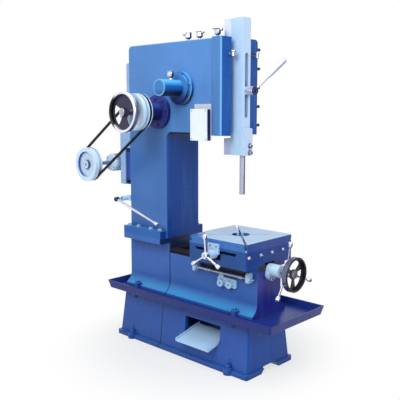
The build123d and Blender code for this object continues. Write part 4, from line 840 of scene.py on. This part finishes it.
def shift_handle():
    """Lever of the feed shift: dark hub and a bright arm with a knob."""
    hub_centre, hub_half, hub_radius = (-0.496, -0.215, 0.859), 0.013, 0.014
    droop, length = math.radians(17.0), 0.381
    outward = (math.cos(droop), 0.0, -math.sin(droop))
    mesh = bmesh.new()
    lathe(mesh, axis_frame(hub_centre, near), [
        (-hub_half, 0.0), (-hub_half, 0.0125), (-hub_half + 0.0015, hub_radius),
        (hub_half - 0.0015, hub_radius), (hub_half, 0.0125), (hub_half, 0.006), (hub_half - 0.002, 0.0),
    ], 40)
    piece("shift_hub", mesh, "dark_steel", "shift_lever_body", ("shift_lever",), bevel=0.0003)
    arm = bmesh.new()
    lathe(arm, axis_frame(hub_centre, outward), [
        (0.0115, 0.0), (0.0115, 0.0078), (0.20, 0.0072), (length - 0.034, 0.0066), (length - 0.030, 0.0088),
        (length - 0.024, 0.0098), (length - 0.004, 0.0098), (length - 0.001, 0.0084), (length, 0.0060),
        (length, 0.0),
    ], 32)
    piece("shift_arm", arm, "grip", "shift_lever_body", bevel=0.0)


def oil_cup(mesh, origin, bowl_radius, lid_radius, spring=None):
    """Stem, bowl and flat lid, with the lid's round spring at one end."""
    x, y, base = origin
    place = axis_frame(origin, up)
    lathe(mesh, place, [(0.0, 0.0), (0.0, 0.0105), (0.005, 0.0105), (0.006, 0.0085), (0.006, 0.0)], 6)
    lathe(mesh, place, [
        (0.005, 0.0), (0.005, 0.0075), (0.009, 0.0080), (0.012, bowl_radius * 0.8), (0.017, bowl_radius),
        (0.038, bowl_radius), (0.039, bowl_radius * 0.93), (0.041, 0.0),
    ], 36)
    lathe(mesh, place, [
        (0.0405, 0.0), (0.0405, lid_radius - 0.001), (0.0418, lid_radius), (0.0435, lid_radius),
        (0.0455, lid_radius * 0.8), (0.0465, lid_radius * 0.35), (0.0465, 0.0),
    ], 40)
    if spring:
        reach, size = spring
        spring_height = 0.038
        lathe(mesh, axis_frame((x + reach, y, base + spring_height), far), [
            (-size, 0.0), (-size * 0.9, size * 0.6), (-size * 0.5, size), (size * 0.5, size),
            (size * 0.9, size * 0.6), (size, 0.0),
        ], 20)


def oil_cups():
    """Lidded oil cups on the head, guide and crank bearing, elbow cups on the guide's front."""
    mesh = bmesh.new()
    head_top, guide_top, row_y = 1.772, 1.777, -0.105
    oil_cup(mesh, (0.0105, row_y, head_top), 0.0185, 0.0190, (-0.030, 0.0100))
    oil_cup(mesh, (0.0955, row_y, head_top), 0.0180, 0.0215, (0.024, 0.0085))
    oil_cup(mesh, (0.2250, row_y, guide_top), 0.0175, 0.0290, (0.026, 0.0095))
    oil_cup(mesh, (crank_centre[0], -0.22, 1.5612), 0.0175, 0.0180)
    elbow_x, elbow_low, elbow_high, stem_height = 0.3055, 1.672, 1.708, 1.690
    depth = elbow_high - elbow_low
    for y in (-0.072, 0.126):
        lathe(mesh, axis_frame((guide_front_x, y, stem_height), ahead), [
            (0.0, 0.0), (0.0, 0.009), (0.006, 0.009), (0.006, 0.006), (0.019, 0.006), (0.019, 0.0),
        ], 24)
        lathe(mesh, axis_frame((elbow_x, y, elbow_low), up), [
            (0.0, 0.0), (0.001, 0.006), (0.004, 0.0095), (depth * 0.74, 0.0100), (depth * 0.78, 0.0135),
            (depth * 0.92, 0.0135), (depth, 0.0090), (depth, 0.0),
        ], 28)
    piece("oilers", mesh, "chrome", "frame", ("oil_cups",), bevel=0.0)


def belt():
    """Wedge-section belt round both pulleys."""
    belt_y, outer, inner, half_outer, half_inner = -0.286, 0.1018, 0.0905, 0.0082, 0.0052
    side, chamfer = 0.004, 0.001
    lean = math.atan2(drive_centre[2] - motor_centre[2], drive_centre[0] - motor_centre[0])
    section = [
        (-half_outer, outer - side), (-half_outer, outer - chamfer), (-half_outer + chamfer, outer),
        (half_outer - chamfer, outer), (half_outer, outer - chamfer), (half_outer, outer - side),
        (half_inner, inner), (-half_inner, inner),
    ]
    arc_steps = 48
    mesh = bmesh.new()
    rings = []
    for (x, _, z), first in ((drive_centre, lean - math.pi / 2), (motor_centre, lean + math.pi / 2)):
        for step in range(arc_steps + 1):
            turn = first + math.pi * step / arc_steps
            rings.append([
                mesh.verts.new((x + radius * math.cos(turn), belt_y + across, z + radius * math.sin(turn)))
                for across, radius in section
            ])
    for index, ring in enumerate(rings):
        after = rings[(index + 1) % len(rings)]
        for corner in range(len(section)):
            other = (corner + 1) % len(section)
            mesh.faces.new((ring[corner], ring[other], after[other], after[corner]))
    piece("vee_belt", mesh, "rubber", "frame", ("drive_belt",), bevel=0.0, smooth_angle=40.0)


def feed_plates():
    """Two upright plates that carry the feed shaft, each with a boss round it."""
    shaft_y, shaft_z, back_y, near_y = -0.126, 0.522, -0.1018, -0.1425
    low_z, low_cut, high_cut_z, high_cut_y = 0.500, 0.006, 0.014, 0.012
    mesh = bmesh.new()
    for low_x, high_x, high_z in ((0.074, 0.091, 0.546), (0.458, 0.476, 0.558)):
        outline = [
            (back_y, low_z), (near_y + low_cut, low_z), (near_y, low_z + low_cut),
            (near_y, high_z - high_cut_z), (near_y + high_cut_y, high_z), (back_y, high_z),
        ]
        faces = []
        for x in (low_x, high_x):
            faces.append([mesh.verts.new((x, y, z)) for y, z in outline])
            mesh.faces.new(faces[-1])
        for corner in range(len(outline)):
            other = (corner + 1) % len(outline)
            mesh.faces.new((faces[0][corner], faces[0][other], faces[1][other], faces[1][corner]))
        lathe(mesh, axis_frame((high_x, shaft_y, shaft_z), ahead), [
            (0.0, 0.0), (0.0, 0.0145), (0.004, 0.0145), (0.006, 0.012), (0.006, 0.0),
        ], 32)
    piece("feed_shaft_plates", mesh, "pale", "frame", ("feed_brackets",), bevel=0.0015)


stand_bolts()
machine_bolts()
gib_nuts()
gib_caps()
handwheel()
stars()
clamp_lever()
oil_cups()
belt()
feed_plates()
shift_handle()

azimuth, pitch_down = 43.5, 8.3
camera_data = bpy.data.cameras.new("camera")
camera_data.lens = 56.2
camera_data.sensor_width = 36.0
camera = bpy.data.objects.new("camera", camera_data)
camera.location = (2.468, -2.602, 1.404)
camera.rotation_euler = (math.radians(90 - pitch_down), 0.0, math.radians(azimuth))
bpy.context.scene.collection.objects.link(camera)
bpy.context.scene.camera = camera


def seen_directly(nodes, links):
    """1 for what the camera sees, straight or in a mirror or through glass."""
    path = nodes.new("ShaderNodeLightPath")
    result = path.outputs["Is Camera Ray"]
    for name in ("Is Glossy Ray", "Is Transmission Ray"):
        largest = nodes.new("ShaderNodeMath")
        largest.operation = "MAXIMUM"
        links.new(result, largest.inputs[0])
        links.new(path.outputs[name], largest.inputs[1])
        result = largest.outputs["Value"]
    return result


def stage_floor():
    """White floor that keeps a soft shadow under the machine and fades out to plain white."""
    fade_start, fade_end, glow_under, glow_outside = 0.35, 0.95, 0.62, 1.0
    bpy.ops.mesh.primitive_circle_add(vertices=96, radius=9.0, fill_type="NGON", location=(0.0, 0.0, 0.0))
    floor = bpy.context.object
    floor.name = "floor"
    material = bpy.data.materials.new("floor_white")
    material.use_nodes = True
    nodes, links = material.node_tree.nodes, material.node_tree.links
    nodes.clear()
    out = nodes.new("ShaderNodeOutputMaterial")
    diffuse = nodes.new("ShaderNodeBsdfDiffuse")
    diffuse.inputs["Color"].default_value = (0.72, 0.72, 0.73, 1.0)
    glow = nodes.new("ShaderNodeEmission")
    glow.inputs["Color"].default_value = (1.0, 1.0, 1.0, 1.0)
    length = nodes.new("ShaderNodeVectorMath")
    length.operation = "LENGTH"
    links.new(nodes.new("ShaderNodeTexCoord").outputs["Object"], length.inputs[0])
    fade = nodes.new("ShaderNodeMapRange")
    fade.interpolation_type = "SMOOTHSTEP"
    for name, number in (
        ("From Min", fade_start), ("From Max", fade_end), ("To Min", glow_under), ("To Max", glow_outside)
    ):
        fade.inputs[name].default_value = number
    links.new(length.outputs["Value"], fade.inputs["Value"])
    factor = nodes.new("ShaderNodeMath")
    factor.operation = "MULTIPLY"
    links.new(seen_directly(nodes, links), factor.inputs[0])
    links.new(fade.outputs["Result"], factor.inputs[1])
    mix = nodes.new("ShaderNodeMixShader")
    links.new(factor.outputs["Value"], mix.inputs["Fac"])
    links.new(diffuse.outputs["BSDF"], mix.inputs[1])
    links.new(glow.outputs["Emission"], mix.inputs[2])
    links.new(mix.outputs["Shader"], out.inputs["Surface"])
    floor.data.materials.append(material)


def area_light(name, location, target, size, power, colour=(1.0, 1.0, 1.0)):
    data = bpy.data.lights.new(name, "AREA")
    data.shape = "RECTANGLE"
    data.size, data.size_y = size
    data.energy = power
    data.color = colour
    lamp = bpy.data.objects.new(name, data)
    lamp.location = location
    direction = Vector(target) - Vector(location)
    lamp.rotation_euler = direction.to_track_quat("-Z", "Y").to_euler()
    bpy.context.scene.collection.objects.link(lamp)


def studio():
    stage_floor()
    world = bpy.data.worlds.new("studio")
    bpy.context.scene.world = world
    world.use_nodes = True
    nodes, links = world.node_tree.nodes, world.node_tree.links
    nodes.clear()
    out = nodes.new("ShaderNodeOutputWorld")
    dim = nodes.new("ShaderNodeBackground")
    dim.inputs["Color"].default_value = (0.80, 0.87, 1.0, 1.0)
    dim.inputs["Strength"].default_value = 0.32
    white = nodes.new("ShaderNodeBackground")
    white.inputs["Color"].default_value = (1.0, 1.0, 1.0, 1.0)
    white.inputs["Strength"].default_value = 1.0
    mix = nodes.new("ShaderNodeMixShader")
    links.new(seen_directly(nodes, links), mix.inputs["Fac"])
    links.new(dim.outputs["Background"], mix.inputs[1])
    links.new(white.outputs["Background"], mix.inputs[2])
    links.new(mix.outputs["Shader"], out.inputs["Surface"])
    area_light("key", (1.0, -4.0, 4.0), (0.0, 0.0, 1.1), (3.0, 3.0), 175.0)
    area_light("front_fill", (4.6, -0.9, 2.2), (0.2, 0.0, 1.1), (2.4, 2.4), 80.0, (0.82, 0.92, 1.0))
    area_light("top", (0.2, -0.4, 4.6), (0.1, 0.0, 1.0), (2.4, 2.4), 60.0)
    bpy.context.scene.view_settings.view_transform = "Standard"


studio()
